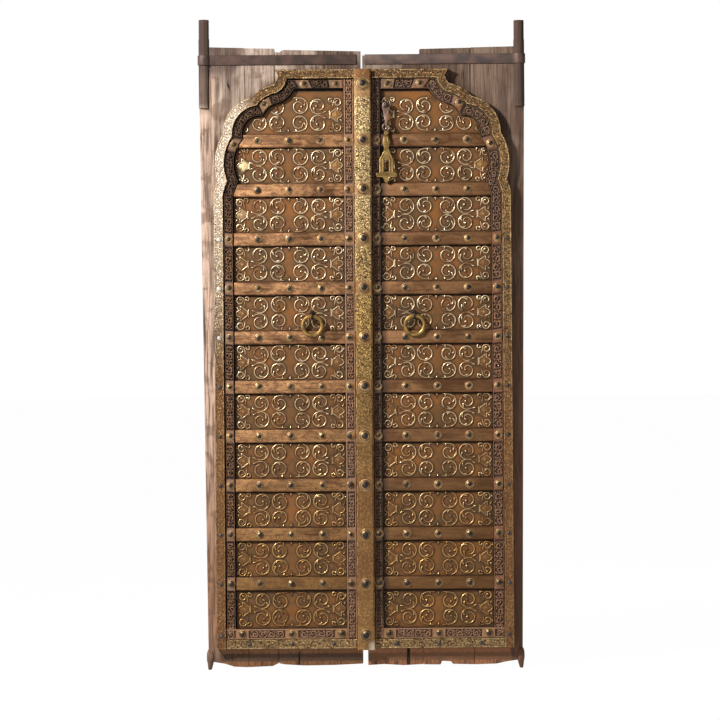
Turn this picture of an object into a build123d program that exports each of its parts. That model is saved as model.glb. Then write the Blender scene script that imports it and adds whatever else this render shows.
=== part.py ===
from build123d import *
import os
from math import cos, hypot, radians, sin

# A pair of carved temple door leaves, taken out of their frame.
# X runs across the pair with the meeting line at zero, the carved face looks along -Y, Z is up.
# A reach is a distance outwards from the meeting line, the same on both leaves.
# A depth is a distance in front of the planks' face.

# Planks
meeting_gap = 12
leaf_top_reach = 526
leaf_taper = 19
plank_thickness = 34
plank_joint_gap = 0.8
plank_head_margin = 108
top_wear = 31
bottom_wear = 20
left_joint_shares = (0.534, 0.719)
right_joint_shares = (0.3555, 0.669)
# Each plank's worn ends as (share across from the meeting side, share of the wear lost or left)
left_top_wear_shares = (
    ((0, 0.56), (0.9, 0.36), (0.95, 0.62), (1, 0.55)),
    ((0, 0.22), (1, 0.17)),
    ((0, 0.14), (0.4, 0.1), (1, 0)),
)
right_top_wear_shares = (
    ((0, 1), (0.6, 0.95), (1, 0.9)),
    ((0, 0.36), (0.5, 0.3), (1, 0.26)),
    ((0, 0.24), (0.55, 0.17), (1, 0.15)),
)
left_bottom_wear_shares = (
    ((0, 0.85), (0.35, 0.65), (0.7, 0.6), (0.93, 0.8), (1, 1)),
    ((0, 1), (0.2, 0.55), (0.6, 0.5), (1, 0.4)),
    ((0, 0.4), (0.35, 0.5), (0.6, 1), (1, 1.4)),
)
right_bottom_wear_shares = (
    ((0, 0.6), (0.3, 0.75), (0.65, 0.55), (1, 0.7)),
    ((0, 0.65), (0.33, 0.6), (0.36, 1.2), (0.54, 1.1), (0.57, 0.7), (1, 0.6)),
    ((0, 0.6), (0.45, 0.7), (0.7, 1.1), (1, 1.4)),
)

# Pivots worked on the hanging stiles
pivot_inset = 17
pivot_setback = 7
pivot_radius = 17.5
pivot_neck_radius = 16.5
pivot_rises = (87, 79)
pivot_neck_length = 62
pivot_foot_drop = 198
tooth_radius = 9
tooth_length = 24
tooth_root_radius = 16
tooth_root_height = 62

# Iron straps
strap_thickness = 4
strap_height = 32
strap_foot_drop = 60
strap_play = 0.3
strap_end_reaches = (17, 10)

# Ledges across the back
ledge_thickness = 24
ledge_height = 72
ledge_inner_reach = 34
ledge_outer_margin = 52
ledge_height_shares = (0.1, 0.37, 0.64, 0.91)
ledge_edge = 5

# Opening that the brass border runs round
opening_margin = 77
opening_foot_height = 100
arch_rise = 375
head_height = 1905
# Cusped shoulder of the field inside the carved band, as arcs (point on the way, end), each point as
# its inset from the field's outer reach and its height above the spring, in shares of the rise
shoulder_shares = (
    ((0.0207, 0.062), (0.0535, 0.138)),
    ((0.0158, 0.352), (0.0998, 0.536)),
    ((0.112, 0.665), (0.2848, 0.747)),
    ((0.3346, 0.821), (0.4369, 0.868)),
    ((0.5172, 0.915), (0.5841, 1)),
)

# Brass border and sill strip
border_width = 30
border_depth = 30
sill_strip_height = 31
sill_strip_depth = 27
brass_edge = 2.5

# Carved wooden strips and arch
seat_gap = 0.4
carved_width = 33
carved_depth = 24
carved_field_recess = 3
carved_rim = 4
inner_strip_reach = 33
inner_strip_width = 25
bottom_rail_height = 33

# Rails and panels
rail_count = 10
rail_height = 42
rail_head_drop = 178
lowest_panel_extra = 7.6
rail_depth = 20
rail_edge = 3
panel_thickness = 8
relief_height = 4.5
relief_root = 1
scroll_radius = 23
scroll_ridge_width = 9
scroll_inner_share = 0.62
scroll_turn_share = 0.86
scroll_steps = 4
scroll_column_shares = (0.098, 0.269)
scroll_row = 27
bud_reach_share = 0.426
bud_length = 34
bud_width = 40

# Studs
stud_radius = 11.5
stud_height = 9
stud_sides = 7
stud_pitch_share = 0.2845
# Studs on the arch's carved band: along its flat head in shares of the reach, and down its shoulder
# as the shoulder's own points are given
head_stud_shares = (0.2, 0.45)
shoulder_stud_shares = ((0.298, 0.865), (0.006, 0.48))
bottom_stud_pitch_share = 0.4484

# Astragal that covers the meeting line, fixed to the left leaf
astragal_left_reach = 25
astragal_right_reach = 30
astragal_depth = 46
astragal_edge = 5
astragal_play = 0.3
astragal_foot_drop = 3
astragal_head_margin = 29
boss_radius = 19
boss_height = 14
boss_sides = 10
boss_end_margin = 48

# Ring pulls and their staples
ring_outer_radius = 35.5
ring_bar = 9.5
ring_sides = 24
ring_offset = 71.8
rails_above_ring_count = 4
ring_rise = 48.4
ring_depth = 27
eye_wall = 4
eye_width = 6
eye_sides = 8
eye_play = 1.1
hanging_gap = 0.5
shank_side = 6
shank_bite = 22
shank_play = 0.2

# Chain and hasp
chain_reach = 78
chain_head_drop = 85
chain_depth = 30
chain_bar = 6
chain_sides = 12
link_eye_radius = 9.5
link_length = 62
link_waist = 8
hasp_eye_radius = 10.5
hasp_length = 168
hasp_neck_width = 13
hasp_waist_width = 25
hasp_body_width = 46
hasp_cross_width = 67
hasp_slot_width = 16
hasp_slot_length = 37
# Hasp outline below its eye, as (half of a named width, share of the length below the eye)
hasp_shoulder_shares = (0.1, 0.22, 0.36, 0.46, 0.54)
hasp_slot_share = 0.685
hasp_cross_shares = (0.815, 0.895)
hasp_tip_share = 0.3

# Worked out from the sizes above
front_reach = astragal_depth + boss_height
back_reach = plank_thickness + ledge_thickness
plank_face_y = (front_reach - back_reach) / 2
pivot_y = plank_face_y + pivot_setback
plank_foot = 0
plank_top = head_height + plank_head_margin
leaf_bottom_reach = leaf_top_reach - leaf_taper
pivot_reach = leaf_top_reach - pivot_inset
pivot_tops = [plank_top + rise for rise in pivot_rises]
pivot_foot_height = plank_top - pivot_foot_drop
strap_foot_height = plank_top - strap_foot_drop
ledge_outer_reach = leaf_top_reach - ledge_outer_margin
opening_reach = leaf_top_reach - opening_margin
spring_height = head_height - arch_rise
field_gap = seat_gap + carved_width + seat_gap
field_head_height = head_height - field_gap
field_rise = field_head_height - spring_height
field_inner_reach = inner_strip_reach + inner_strip_width + seat_gap
field_outer_reach = opening_reach - field_gap
field_middle = (field_inner_reach + field_outer_reach) / 2
field_width = field_outer_reach - field_inner_reach
carved_foot_height = opening_foot_height + seat_gap
field_foot_height = carved_foot_height + bottom_rail_height
sill_strip_foot_height = opening_foot_height - sill_strip_height
cut_overrun = border_depth
astragal_foot_height = sill_strip_foot_height - astragal_foot_drop
astragal_top = head_height + astragal_head_margin
ring_radius = ring_outer_radius - ring_bar / 2
ring_eye_radius = hypot(ring_bar, ring_bar) / 2 + eye_play
chain_eye_radius = hypot(chain_bar, chain_bar) / 2 + eye_play
hanging_drop = eye_play - hanging_gap
rail_top = head_height - rail_head_drop
rail_pitch = (rail_top - field_foot_height - lowest_panel_extra) / rail_count
rail_tops = [rail_top - rail_pitch * row for row in range(rail_count)]
rail_middles = [top - rail_height / 2 for top in rail_tops]
ring_reach = field_middle - ring_offset
ring_axis_height = rail_tops[rails_above_ring_count] + ring_rise
chain_axis_height = head_height - chain_head_drop
scroll_columns = [field_width * share for share in scroll_column_shares]
bud_reach = field_width * bud_reach_share
stud_pitch = field_width * stud_pitch_share
bottom_stud_pitch = field_width * bottom_stud_pitch_share
left_joint_reaches = [leaf_top_reach * share for share in left_joint_shares]
right_joint_reaches = [leaf_top_reach * share for share in right_joint_shares]


def face_plane(depth=0):
    """Plane parallel to the planks' face, that far in front of it, with x along X and y along Z."""
    return Plane.XZ.offset(depth - plank_face_y)


def y_at(depth):
    """Y of a point that far in front of the planks' face."""
    return plank_face_y - depth


def keep(part, node):
    """Labels a finished piece and writes it under its node's name."""
    part.label = node
    export_step(part, f"parts/{node}.step")


def shoulder_point(shares):
    """Point on the right leaf's shoulder from its inset and its height, in shares of the rise."""
    inset_share, rise_share = shares
    return (field_outer_reach - field_rise * inset_share, spring_height + field_rise * rise_share)


def field_face(side, grow=0):
    """The carved field under its cusped head, from the planks' foot up, grown outwards by a margin."""
    outer = field_outer_reach
    with BuildSketch() as field:
        with BuildLine():
            Polyline((0, plank_foot), (outer, plank_foot), (outer, spring_height))
            start = (outer, spring_height)
            for via, end in shoulder_shares:
                ThreePointArc(start, shoulder_point(via), shoulder_point(end))
                start = shoulder_point(end)
            Polyline(start, (0, field_head_height), (0, plank_foot))
        make_face()
        if grow:
            offset(amount=grow, kind=Kind.INTERSECTION)
        if side < 0:
            mirror(about=Plane.YZ, mode=Mode.REPLACE)
    return field.sketch


def strip_face(side, near, far, foot, top):
    """Upright rectangle between two reaches and two heights."""
    with BuildSketch() as strip:
        with Locations((side * (near + far) / 2, (foot + top) / 2)):
            Rectangle(far - near, top - foot)
    return strip.sketch


def plank(side, near, far, top_shares, bottom_shares, hole_places):
    """One upright plank with its worn ends, and square holes for the staples' shanks."""

    def edge_reach(share, height):
        """Reach of a point on the plank; the hanging stile's outer edge leans in to the foot."""
        lean = (leaf_top_reach - leaf_bottom_reach) * (plank_top - height) / plank_top
        outer = far - lean if far == leaf_top_reach else far
        return side * (near + (outer - near) * share)

    tops = [(share, plank_top - top_wear * lost) for share, lost in top_shares]
    feet = [(share, plank_foot + bottom_wear * left) for share, left in bottom_shares]
    outline = [(edge_reach(share, z), z) for share, z in (*feet, *reversed(tops))]
    with BuildPart() as board:
        with BuildSketch(face_plane()):
            with BuildLine():
                Polyline(*outline, close=True)
            make_face()
        extrude(amount=-plank_thickness)
        if hole_places:
            with BuildSketch(face_plane()):
                with Locations(*hole_places):
                    Rectangle(shank_side + 2 * shank_play, shank_side + 2 * shank_play)
            extrude(amount=-shank_bite, mode=Mode.SUBTRACT)
    return board.part


def hanging_stile(side, near, top_shares, bottom_shares, pivot_top):
    """Outer plank with the pivots worked on it: a round post above and a pointed tooth below."""
    shoulder = pivot_top - pivot_neck_length
    axis_plane = Plane(origin=(side * pivot_reach, pivot_y, 0), x_dir=(1, 0, 0), z_dir=(0, -1, 0))
    axis = Axis(axis_plane.origin, (0, 0, 1))
    with BuildPart() as stile:
        add(plank(side, near, leaf_top_reach, top_shares, bottom_shares, ()))
        with BuildSketch(axis_plane):
            with BuildLine():
                Polyline(
                    (0, pivot_foot_height),
                    (pivot_radius, pivot_foot_height),
                    (pivot_radius, shoulder),
                    (pivot_neck_radius, shoulder),
                    (pivot_neck_radius, pivot_top),
                    (0, pivot_top),
                    close=True,
                )
            make_face()
        revolve(axis=axis)
        with BuildSketch(axis_plane):
            with BuildLine():
                Polyline(
                    (0, plank_foot),
                    (tooth_radius, plank_foot),
                    (tooth_radius, plank_foot + tooth_length),
                    (tooth_root_radius, plank_foot + tooth_length),
                    (tooth_root_radius, tooth_root_height),
                    (0, tooth_root_height),
                    close=True,
                )
            make_face()
        revolve(axis=axis)
    return stile.part


def strap(side, end_reach):
    """Flat iron bar over the plank tops, forged round the front of the pivot post."""
    bend_radius = pivot_radius + strap_play
    outer_radius = bend_radius + strap_thickness
    with BuildPart() as bar:
        with BuildSketch(Plane.XY.offset(strap_foot_height)):
            with Locations((side * (end_reach + pivot_reach) / 2, y_at(strap_thickness / 2))):
                Rectangle(pivot_reach - end_reach, strap_thickness)
            with Locations((side * pivot_reach, pivot_y)):
                Circle(outer_radius)
                Circle(bend_radius, mode=Mode.SUBTRACT)
            with Locations((side * (end_reach + pivot_reach), y_at(outer_radius))):
                Rectangle(2 * (pivot_reach + outer_radius), 2 * outer_radius, mode=Mode.INTERSECT)
        extrude(amount=strap_height)
    return bar.part


def back_ledges(side):
    """Ledges nailed across the back of a leaf, with eased edges."""
    middle = (ledge_inner_reach + ledge_outer_reach) / 2
    with BuildPart() as ledges:
        with BuildSketch(face_plane(-plank_thickness)):
            with Locations(*[(side * middle, plank_top * share) for share in ledge_height_shares]):
                Rectangle(ledge_outer_reach - ledge_inner_reach, ledge_height)
        extrude(amount=-ledge_thickness)
        chamfer(ledges.edges().filter_by(Axis.X).group_by(Axis.Y)[-1], ledge_edge)
    return ledges.part


def border(side):
    """Brass-clad border up the outer side and over the cusped shoulder to the meeting line."""
    outer = opening_reach + border_width
    with BuildPart() as band:
        with BuildSketch(face_plane()):
            add(field_face(side, field_gap + border_width))
            add(field_face(side, field_gap), mode=Mode.SUBTRACT)
            add(
                strip_face(side, inner_strip_reach, outer, sill_strip_foot_height, head_height + border_width),
                mode=Mode.INTERSECT,
            )
        extrude(amount=border_depth)
    return band.part


def sill_strip(side):
    """Brass-clad strip along the foot of the carved field."""
    with BuildPart() as strip:
        with BuildSketch(face_plane()):
            add(
                strip_face(
                    side,
                    inner_strip_reach,
                    opening_reach - seat_gap,
                    sill_strip_foot_height,
                    opening_foot_height,
                )
            )
        extrude(amount=sill_strip_depth)
        chamfer(strip.edges().filter_by(Axis.X).group_by(Axis.Y)[0], brass_edge)
    return strip.part


def sunk_heights(foot, top):
    """Middle and height of each sunk field between one stud block and the next up a carved strip."""
    stops = [foot, *reversed([z for z in rail_middles if foot < z < top]), top]
    spans = [(below, above) for below, above in zip(stops, stops[1:]) if above - below > 2 * rail_height]
    return [((below + above) / 2, above - below - rail_height) for below, above in spans]


def sunk_fields(reach, width, foot, top):
    """What is cut out of a carved strip's face to sink the fields between its stud blocks."""
    with BuildPart() as fields:
        with BuildSketch(face_plane(carved_depth)):
            for middle, height in sunk_heights(foot, top):
                with Locations((reach, middle)):
                    Rectangle(width - 2 * carved_rim, height)
        extrude(amount=-carved_field_recess)
    return fields.part


def carved_border(side):
    """Carved wooden band up the outer side of the field and over its cusped shoulder and head."""
    foot = field_foot_height + seat_gap
    sunk = sunk_fields(side * (opening_reach - field_gap / 2), carved_width, foot, spring_height)
    with BuildPart() as band:
        with BuildSketch(face_plane()):
            add(field_face(side, seat_gap + carved_width))
            add(field_face(side, seat_gap), mode=Mode.SUBTRACT)
            add(strip_face(side, field_inner_reach, opening_reach, foot, head_height), mode=Mode.INTERSECT)
        extrude(amount=carved_depth)
        add(sunk, mode=Mode.SUBTRACT)
    return band.part


def inner_strip(side):
    """Carved strip up the meeting side of the field."""
    far = inner_strip_reach + inner_strip_width
    top = head_height - seat_gap
    sunk = sunk_fields(side * (inner_strip_reach + far) / 2, inner_strip_width, carved_foot_height, top)
    with BuildPart() as strip:
        with BuildSketch(face_plane()):
            add(strip_face(side, inner_strip_reach, far, carved_foot_height, top))
        extrude(amount=carved_depth)
        add(sunk, mode=Mode.SUBTRACT)
    return strip.part


def bottom_rail(side):
    """Carved rail that closes the field above the sill strip."""
    with BuildPart() as rail:
        with BuildSketch(face_plane()):
            add(
                strip_face(
                    side, field_inner_reach, opening_reach - seat_gap, carved_foot_height, field_foot_height
                )
            )
        extrude(amount=carved_depth)
        with BuildSketch(face_plane(carved_depth)):
            with Locations(*bottom_field_places(side)):
                Rectangle(bottom_stud_pitch - rail_height, bottom_rail_height - 2 * carved_rim)
        extrude(amount=-carved_field_recess, mode=Mode.SUBTRACT)
    return rail.part


def bottom_field_places(side):
    """Middles of the sunk fields between the bottom rail's studs."""
    middle = carved_foot_height + bottom_rail_height / 2
    return [(side * (field_middle + half * bottom_stud_pitch / 2), middle) for half in (-1, 1)]


def rails(side):
    """Brass-clad rails across the field, trimmed to the arch, with eased long edges."""
    with BuildPart() as bars:
        with BuildSketch(face_plane()):
            for top in rail_tops:
                add(strip_face(side, field_inner_reach, opening_reach, top - rail_height, top))
            add(field_face(side), mode=Mode.INTERSECT)
        extrude(amount=rail_depth)
        chamfer(bars.edges().filter_by(Axis.X).group_by(Axis.Y)[0], rail_edge)
    return bars.part


def scroll_points(column):
    """A scroll's centre line in one quarter of a panel, curling in from the panel's middle line."""
    points = []
    for step in range(scroll_steps + 1):
        along = step / scroll_steps
        angle = radians(360 * (along * scroll_turn_share - 0.25))
        radius = (scroll_radius - scroll_ridge_width / 2) * (1 - (1 - scroll_inner_share) * along)
        points.append((column + radius * cos(angle), scroll_row + radius * sin(angle)))
    return points


def panel_relief():
    """A panel's scrolls and end buds, about the panel's middle, ready to stand on its board."""
    ground = face_plane(panel_thickness - relief_root)
    height = relief_root + relief_height
    half_width = scroll_ridge_width / 2
    with BuildPart() as relief:
        for column in scroll_columns:
            with BuildLine(ground) as stroke:
                Polyline(*scroll_points(column))
            along = stroke.line % 0
            across = ground.z_dir.cross(along)
            with BuildSketch(Plane(origin=stroke.line @ 0, x_dir=across, z_dir=along)):
                with BuildLine():
                    Polyline((-half_width, 0), (half_width, 0), (0, height), close=True)
                make_face()
            sweep(path=stroke.line, transition=Transition.RIGHT)
        mirror(about=Plane.XY)
        with BuildSketch(ground) as bud:
            with BuildLine():
                Polyline(
                    (bud_reach - bud_length / 2, 0),
                    (bud_reach, bud_width / 2),
                    (bud_reach + bud_length / 2, 0),
                    (bud_reach, -bud_width / 2),
                    close=True,
                )
            make_face()
        crown = ground.offset(height).from_local_coords((bud_reach, 0))
        loft(sections=[bud.sketch.face(), Vertex(*crown)], ruled=True)
        mirror(about=Plane.YZ)
    return relief.part


def panel(side, foot, top, relief, hole_places):
    """Board between two rails with its relief, trimmed to the arch and pierced for any staple."""
    outline = field_face(side)
    seat = strip_face(side, field_inner_reach, opening_reach, foot + seat_gap, top - seat_gap)
    with BuildPart() as board:
        with BuildSketch(face_plane()):
            add(outline)
            add(seat, mode=Mode.INTERSECT)
        extrude(amount=panel_thickness)
        with Locations((side * field_middle, 0, (foot + top) / 2)):
            add(relief)
        if top > spring_height:
            with BuildSketch(face_plane()):
                add(outline)
            extrude(amount=cut_overrun, mode=Mode.INTERSECT)
        if hole_places:
            with BuildSketch(face_plane()):
                with Locations(*hole_places):
                    Rectangle(shank_side + 2 * shank_play, shank_side + 2 * shank_play)
            extrude(amount=cut_overrun, mode=Mode.SUBTRACT)
    return board.part


def stud_group(places, radius, height, sides):
    """Faceted nail heads alike, each standing on its place as (x, depth, z)."""
    with BuildPart() as head:
        with BuildSketch(face_plane()) as foot:
            RegularPolygon(radius, sides)
        loft(sections=[foot.sketch.face(), Vertex(0, y_at(height), 0)], ruled=True)
    with BuildPart() as heads:
        with Locations(*[(x, -depth, z) for x, depth, z in places]):
            add(head.part)
    return heads.part


def stud_places(side):
    """Every stud of a leaf: three to a rail, one to each strip's blocks, the arch and the bottom rail."""
    outer_middle = opening_reach - field_gap / 2
    inner_middle = inner_strip_reach + inner_strip_width / 2
    bottom_middle = carved_foot_height + bottom_rail_height / 2
    places = []
    for z in rail_middles:
        places += [(side * (field_middle + n * stud_pitch), rail_depth, z) for n in (-1, 0, 1)]
        places.append((side * inner_middle, carved_depth, z))
        if z < spring_height:
            places.append((side * outer_middle, carved_depth, z))
    for share in head_stud_shares:
        places.append((side * field_outer_reach * share, carved_depth, head_height - field_gap / 2))
    for shares in shoulder_stud_shares:
        reach, z = shoulder_point(shares)
        places.append((side * reach, carved_depth, z))
    for n in (-1, 0, 1):
        places.append((side * (field_middle + n * bottom_stud_pitch), carved_depth, bottom_middle))
    return places


def astragal():
    """Brass-clad bar over the meeting line, seated on the left leaf and just clear of the right one."""
    left = -astragal_left_reach
    right = astragal_right_reach
    step = -meeting_gap / 2
    front = y_at(astragal_depth)
    with BuildPart() as bar:
        with BuildSketch(Plane.XY.offset(astragal_foot_height)):
            with BuildLine():
                Polyline(
                    (left, y_at(0)),
                    (step, y_at(0)),
                    (step, y_at(astragal_play)),
                    (right, y_at(astragal_play)),
                    (right, front + astragal_edge),
                    (right - astragal_edge, front),
                    (left + astragal_edge, front),
                    (left, front + astragal_edge),
                    close=True,
                )
            make_face()
        extrude(amount=astragal_top - astragal_foot_height)
    return bar.part


def astragal_bosses():
    """Large domed bosses up the astragal, one at each rail and one at each end."""
    middle = (astragal_right_reach - astragal_left_reach) / 2
    heights = [astragal_top - boss_end_margin, *rail_middles, astragal_foot_height + boss_end_margin]
    places = [(middle, astragal_depth, z) for z in heights]
    return stud_group(places, boss_radius, boss_height, boss_sides)


def staple(x, axis_height, axis_depth, hole_radius):
    """Iron staple: a forged eye across the door's face on a square shank driven into the plank."""
    eye_radius = hole_radius + eye_wall
    side_plane = Plane(origin=(x, y_at(axis_depth), axis_height), x_dir=(0, 1, 0), z_dir=(1, 0, 0))
    with BuildPart() as eye:
        with BuildSketch(side_plane.offset(-eye_width / 2)):
            RegularPolygon(eye_radius, eye_sides, major_radius=False)
        extrude(amount=eye_width)
        shank_length = axis_depth + shank_bite
        with BuildSketch(face_plane(-shank_bite)):
            with Locations((x, axis_height)):
                Rectangle(shank_side, shank_side)
        extrude(amount=shank_length)
        with BuildSketch(side_plane.offset(-shank_side)):
            Circle(hole_radius)
        extrude(amount=2 * shank_side, mode=Mode.SUBTRACT)
    return eye.part


def ring(side):
    """Ring pull forged in flats from square bar, hanging in its staple's eye."""
    middle = ring_axis_height - hanging_drop - ring_radius
    with BuildPart() as hoop:
        with BuildSketch(face_plane(ring_depth - ring_bar / 2)):
            with Locations((side * ring_reach, middle)):
                forged_eye(ring_radius, ring_bar, ring_sides)
        extrude(amount=ring_bar)
    return hoop.part


def forged_eye(radius, bar, sides):
    """Eye of square bar hammered in flats, with one flat at its top, in the sketch being drawn."""
    half_turn = 180 / sides
    RegularPolygon(radius + bar / 2, sides, major_radius=False, rotation=half_turn)
    RegularPolygon(radius - bar / 2, sides, major_radius=False, rotation=half_turn, mode=Mode.SUBTRACT)


def link():
    """Long chain link: a flat eye that hangs in the staple, a straight waist and a crosswise eye below."""
    low_axis = chain_axis_height - link_length
    eye_middle = chain_axis_height - hanging_drop - link_eye_radius
    side_plane = Plane(origin=(chain_reach, y_at(chain_depth), low_axis), x_dir=(0, 1, 0), z_dir=(1, 0, 0))
    with BuildPart() as bar:
        with BuildSketch(face_plane(chain_depth - chain_bar / 2)):
            with Locations((chain_reach, (eye_middle + low_axis) / 2)):
                Rectangle(link_waist, eye_middle - low_axis)
            with Locations((chain_reach, eye_middle)):
                forged_eye(link_eye_radius, chain_bar, chain_sides)
        extrude(amount=chain_bar)
        with BuildSketch(side_plane.offset(-eye_width / 2)):
            RegularPolygon(chain_eye_radius + eye_wall, eye_sides, major_radius=False)
        extrude(amount=eye_width)
        with BuildSketch(side_plane.offset(-link_waist)):
            Circle(chain_eye_radius)
        extrude(amount=2 * link_waist, mode=Mode.SUBTRACT)
    return bar.part


def hasp():
    """Brass hasp on the link's lower eye: shaped waist, slotted body, cross foot and pointed drop."""
    eye_middle = chain_axis_height - link_length - hanging_drop - hasp_eye_radius
    top = eye_middle - hasp_eye_radius

    def down(share):
        """Height of a point down the hasp."""
        return top - hasp_length * share

    narrow, wide, pinch, knob, body = hasp_shoulder_shares
    cross_top, cross_foot = hasp_cross_shares
    half_outline = (
        (hasp_neck_width / 2, top),
        (hasp_neck_width / 2, down(narrow)),
        (hasp_waist_width / 2, down(wide)),
        (hasp_neck_width / 2, down(pinch)),
        (hasp_waist_width / 2, down(knob)),
        (hasp_body_width / 2, down(body)),
        (hasp_body_width / 2, down(cross_top)),
        (hasp_cross_width / 2, down(cross_top)),
        (hasp_cross_width / 2, down(cross_foot)),
        (hasp_waist_width / 2, down(cross_foot)),
        (hasp_waist_width / 2 * hasp_tip_share, down(1)),
    )
    right = [(chain_reach + half, z) for half, z in half_outline]
    left = [(chain_reach - half, z) for half, z in reversed(half_outline)]
    with BuildPart() as plate:
        with BuildSketch(face_plane(chain_depth - chain_bar / 2)):
            with BuildLine():
                Polyline(*right, *left, close=True)
            make_face()
            with Locations((chain_reach, eye_middle)):
                forged_eye(hasp_eye_radius, chain_bar, chain_sides)
            with Locations((chain_reach, down(hasp_slot_share))):
                Rectangle(hasp_slot_width, hasp_slot_length, mode=Mode.SUBTRACT)
        extrude(amount=chain_bar)
    return plate.part


os.makedirs("parts", exist_ok=True)

panel_scrolls = panel_relief()
leaves = (
    ("left", -1, left_joint_reaches, left_top_wear_shares, left_bottom_wear_shares),
    ("right", 1, right_joint_reaches, right_top_wear_shares, right_bottom_wear_shares),
)
for order, (name, side, joints, top_shares, bottom_shares) in enumerate(leaves):
    near_joint, far_joint = joints
    half_gap = plank_joint_gap / 2
    shank_places = [(side * ring_reach, ring_axis_height)]
    if name == "right":
        shank_places.append((side * chain_reach, chain_axis_height))
    meeting = plank(
        side, meeting_gap / 2, near_joint - half_gap, top_shares[0], bottom_shares[0], shank_places
    )
    keep(meeting, f"{name}_meeting_plank")
    middle = plank(side, near_joint + half_gap, far_joint - half_gap, top_shares[1], bottom_shares[1], ())
    keep(middle, f"{name}_middle_plank")
    stile = hanging_stile(side, far_joint + half_gap, top_shares[2], bottom_shares[2], pivot_tops[order])
    keep(stile, f"{name}_hanging_stile")
    keep(strap(side, strap_end_reaches[order]), f"{name}_strap")
    keep(back_ledges(side), f"{name}_back_ledges")
    keep(border(side), f"{name}_border")
    keep(sill_strip(side), f"{name}_sill_strip")
    keep(carved_border(side), f"{name}_carved_border")
    keep(inner_strip(side), f"{name}_inner_strip")
    keep(bottom_rail(side), f"{name}_bottom_rail")
    keep(rails(side), f"{name}_rails")
    keep(stud_group(stud_places(side), stud_radius, stud_height, stud_sides), f"{name}_studs")
    panel_feet = [*rail_tops, field_foot_height]
    panel_heads = [field_head_height, *[top - rail_height for top in rail_tops]]
    for row, (foot, head) in enumerate(zip(panel_feet, panel_heads)):
        holes = [place for place in shank_places if foot < place[1] < head]
        keep(panel(side, foot, head, panel_scrolls, holes), f"{name}_panel_{row + 1:02d}")
    keep(ring(side), f"{name}_ring")
    keep(
        staple(side * ring_reach, ring_axis_height, ring_depth, ring_eye_radius), f"{name}_ring_staple"
    )

keep(astragal(), "astragal")
keep(astragal_bosses(), "astragal_bosses")
keep(staple(chain_reach, chain_axis_height, chain_depth, chain_eye_radius), "chain_staple")
keep(link(), "chain_link")
keep(hasp(), "hasp")
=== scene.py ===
"""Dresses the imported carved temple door: embossed panels, studs, carved bands, finishes, light and camera."""

import logging
import math
import random
from bisect import bisect_right
from dataclasses import dataclass, field
from enum import Enum
from functools import cache, cached_property
from typing import Callable, Iterable, Protocol, Sequence

import bmesh
import bpy
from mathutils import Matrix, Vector


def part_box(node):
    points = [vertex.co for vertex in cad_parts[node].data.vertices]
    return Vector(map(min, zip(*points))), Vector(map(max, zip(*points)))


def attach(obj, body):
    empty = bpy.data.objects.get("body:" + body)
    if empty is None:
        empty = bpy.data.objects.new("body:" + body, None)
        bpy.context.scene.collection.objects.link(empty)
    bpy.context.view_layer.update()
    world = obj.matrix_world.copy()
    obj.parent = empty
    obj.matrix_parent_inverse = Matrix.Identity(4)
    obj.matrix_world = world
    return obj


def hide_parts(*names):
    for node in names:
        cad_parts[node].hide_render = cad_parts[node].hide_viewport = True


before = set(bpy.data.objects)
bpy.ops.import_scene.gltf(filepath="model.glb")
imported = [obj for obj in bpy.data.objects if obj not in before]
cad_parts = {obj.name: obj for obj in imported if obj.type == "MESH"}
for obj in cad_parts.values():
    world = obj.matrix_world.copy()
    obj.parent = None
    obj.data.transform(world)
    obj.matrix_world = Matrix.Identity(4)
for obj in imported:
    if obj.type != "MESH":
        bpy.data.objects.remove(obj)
log = logging.getLogger("carved_door")

Colour = tuple[float, float, float, float]
Point = tuple[float, float]
Rung = tuple[Vector, Vector]
Place = tuple[float, float, float]
Socket = bpy.types.NodeSocket
Material = bpy.types.Material
Mesh = bpy.types.Mesh
Level = Socket | float
Paint = Socket | Colour


def tone(red: int, green: int, blue: int) -> Colour:
    """Turns a display colour into the linear one that shaders take.

    Args:
        red: Red from 0 to 255.
        green: Green from 0 to 255.
        blue: Blue from 0 to 255.

    Returns:
        The linear colour with full alpha.
    """
    def linear(value: int) -> float:
        """Linear level of one channel."""
        share = value / 255
        return share / 12.92 if share <= 0.04045 else ((share + 0.055) / 1.055) ** 2.4

    return (linear(red), linear(green), linear(blue), 1.0)


class Side(Enum):
    """The two leaves, as the sign of their X."""

    LEFT = -1
    RIGHT = 1

    @property
    def leaf(self) -> str:
        """Name that the leaf's nodes start with."""
        return self.name.lower()

    @property
    def body(self) -> str:
        """Body that the leaf's pieces ride on."""
        return f"{self.leaf}_leaf"


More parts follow.
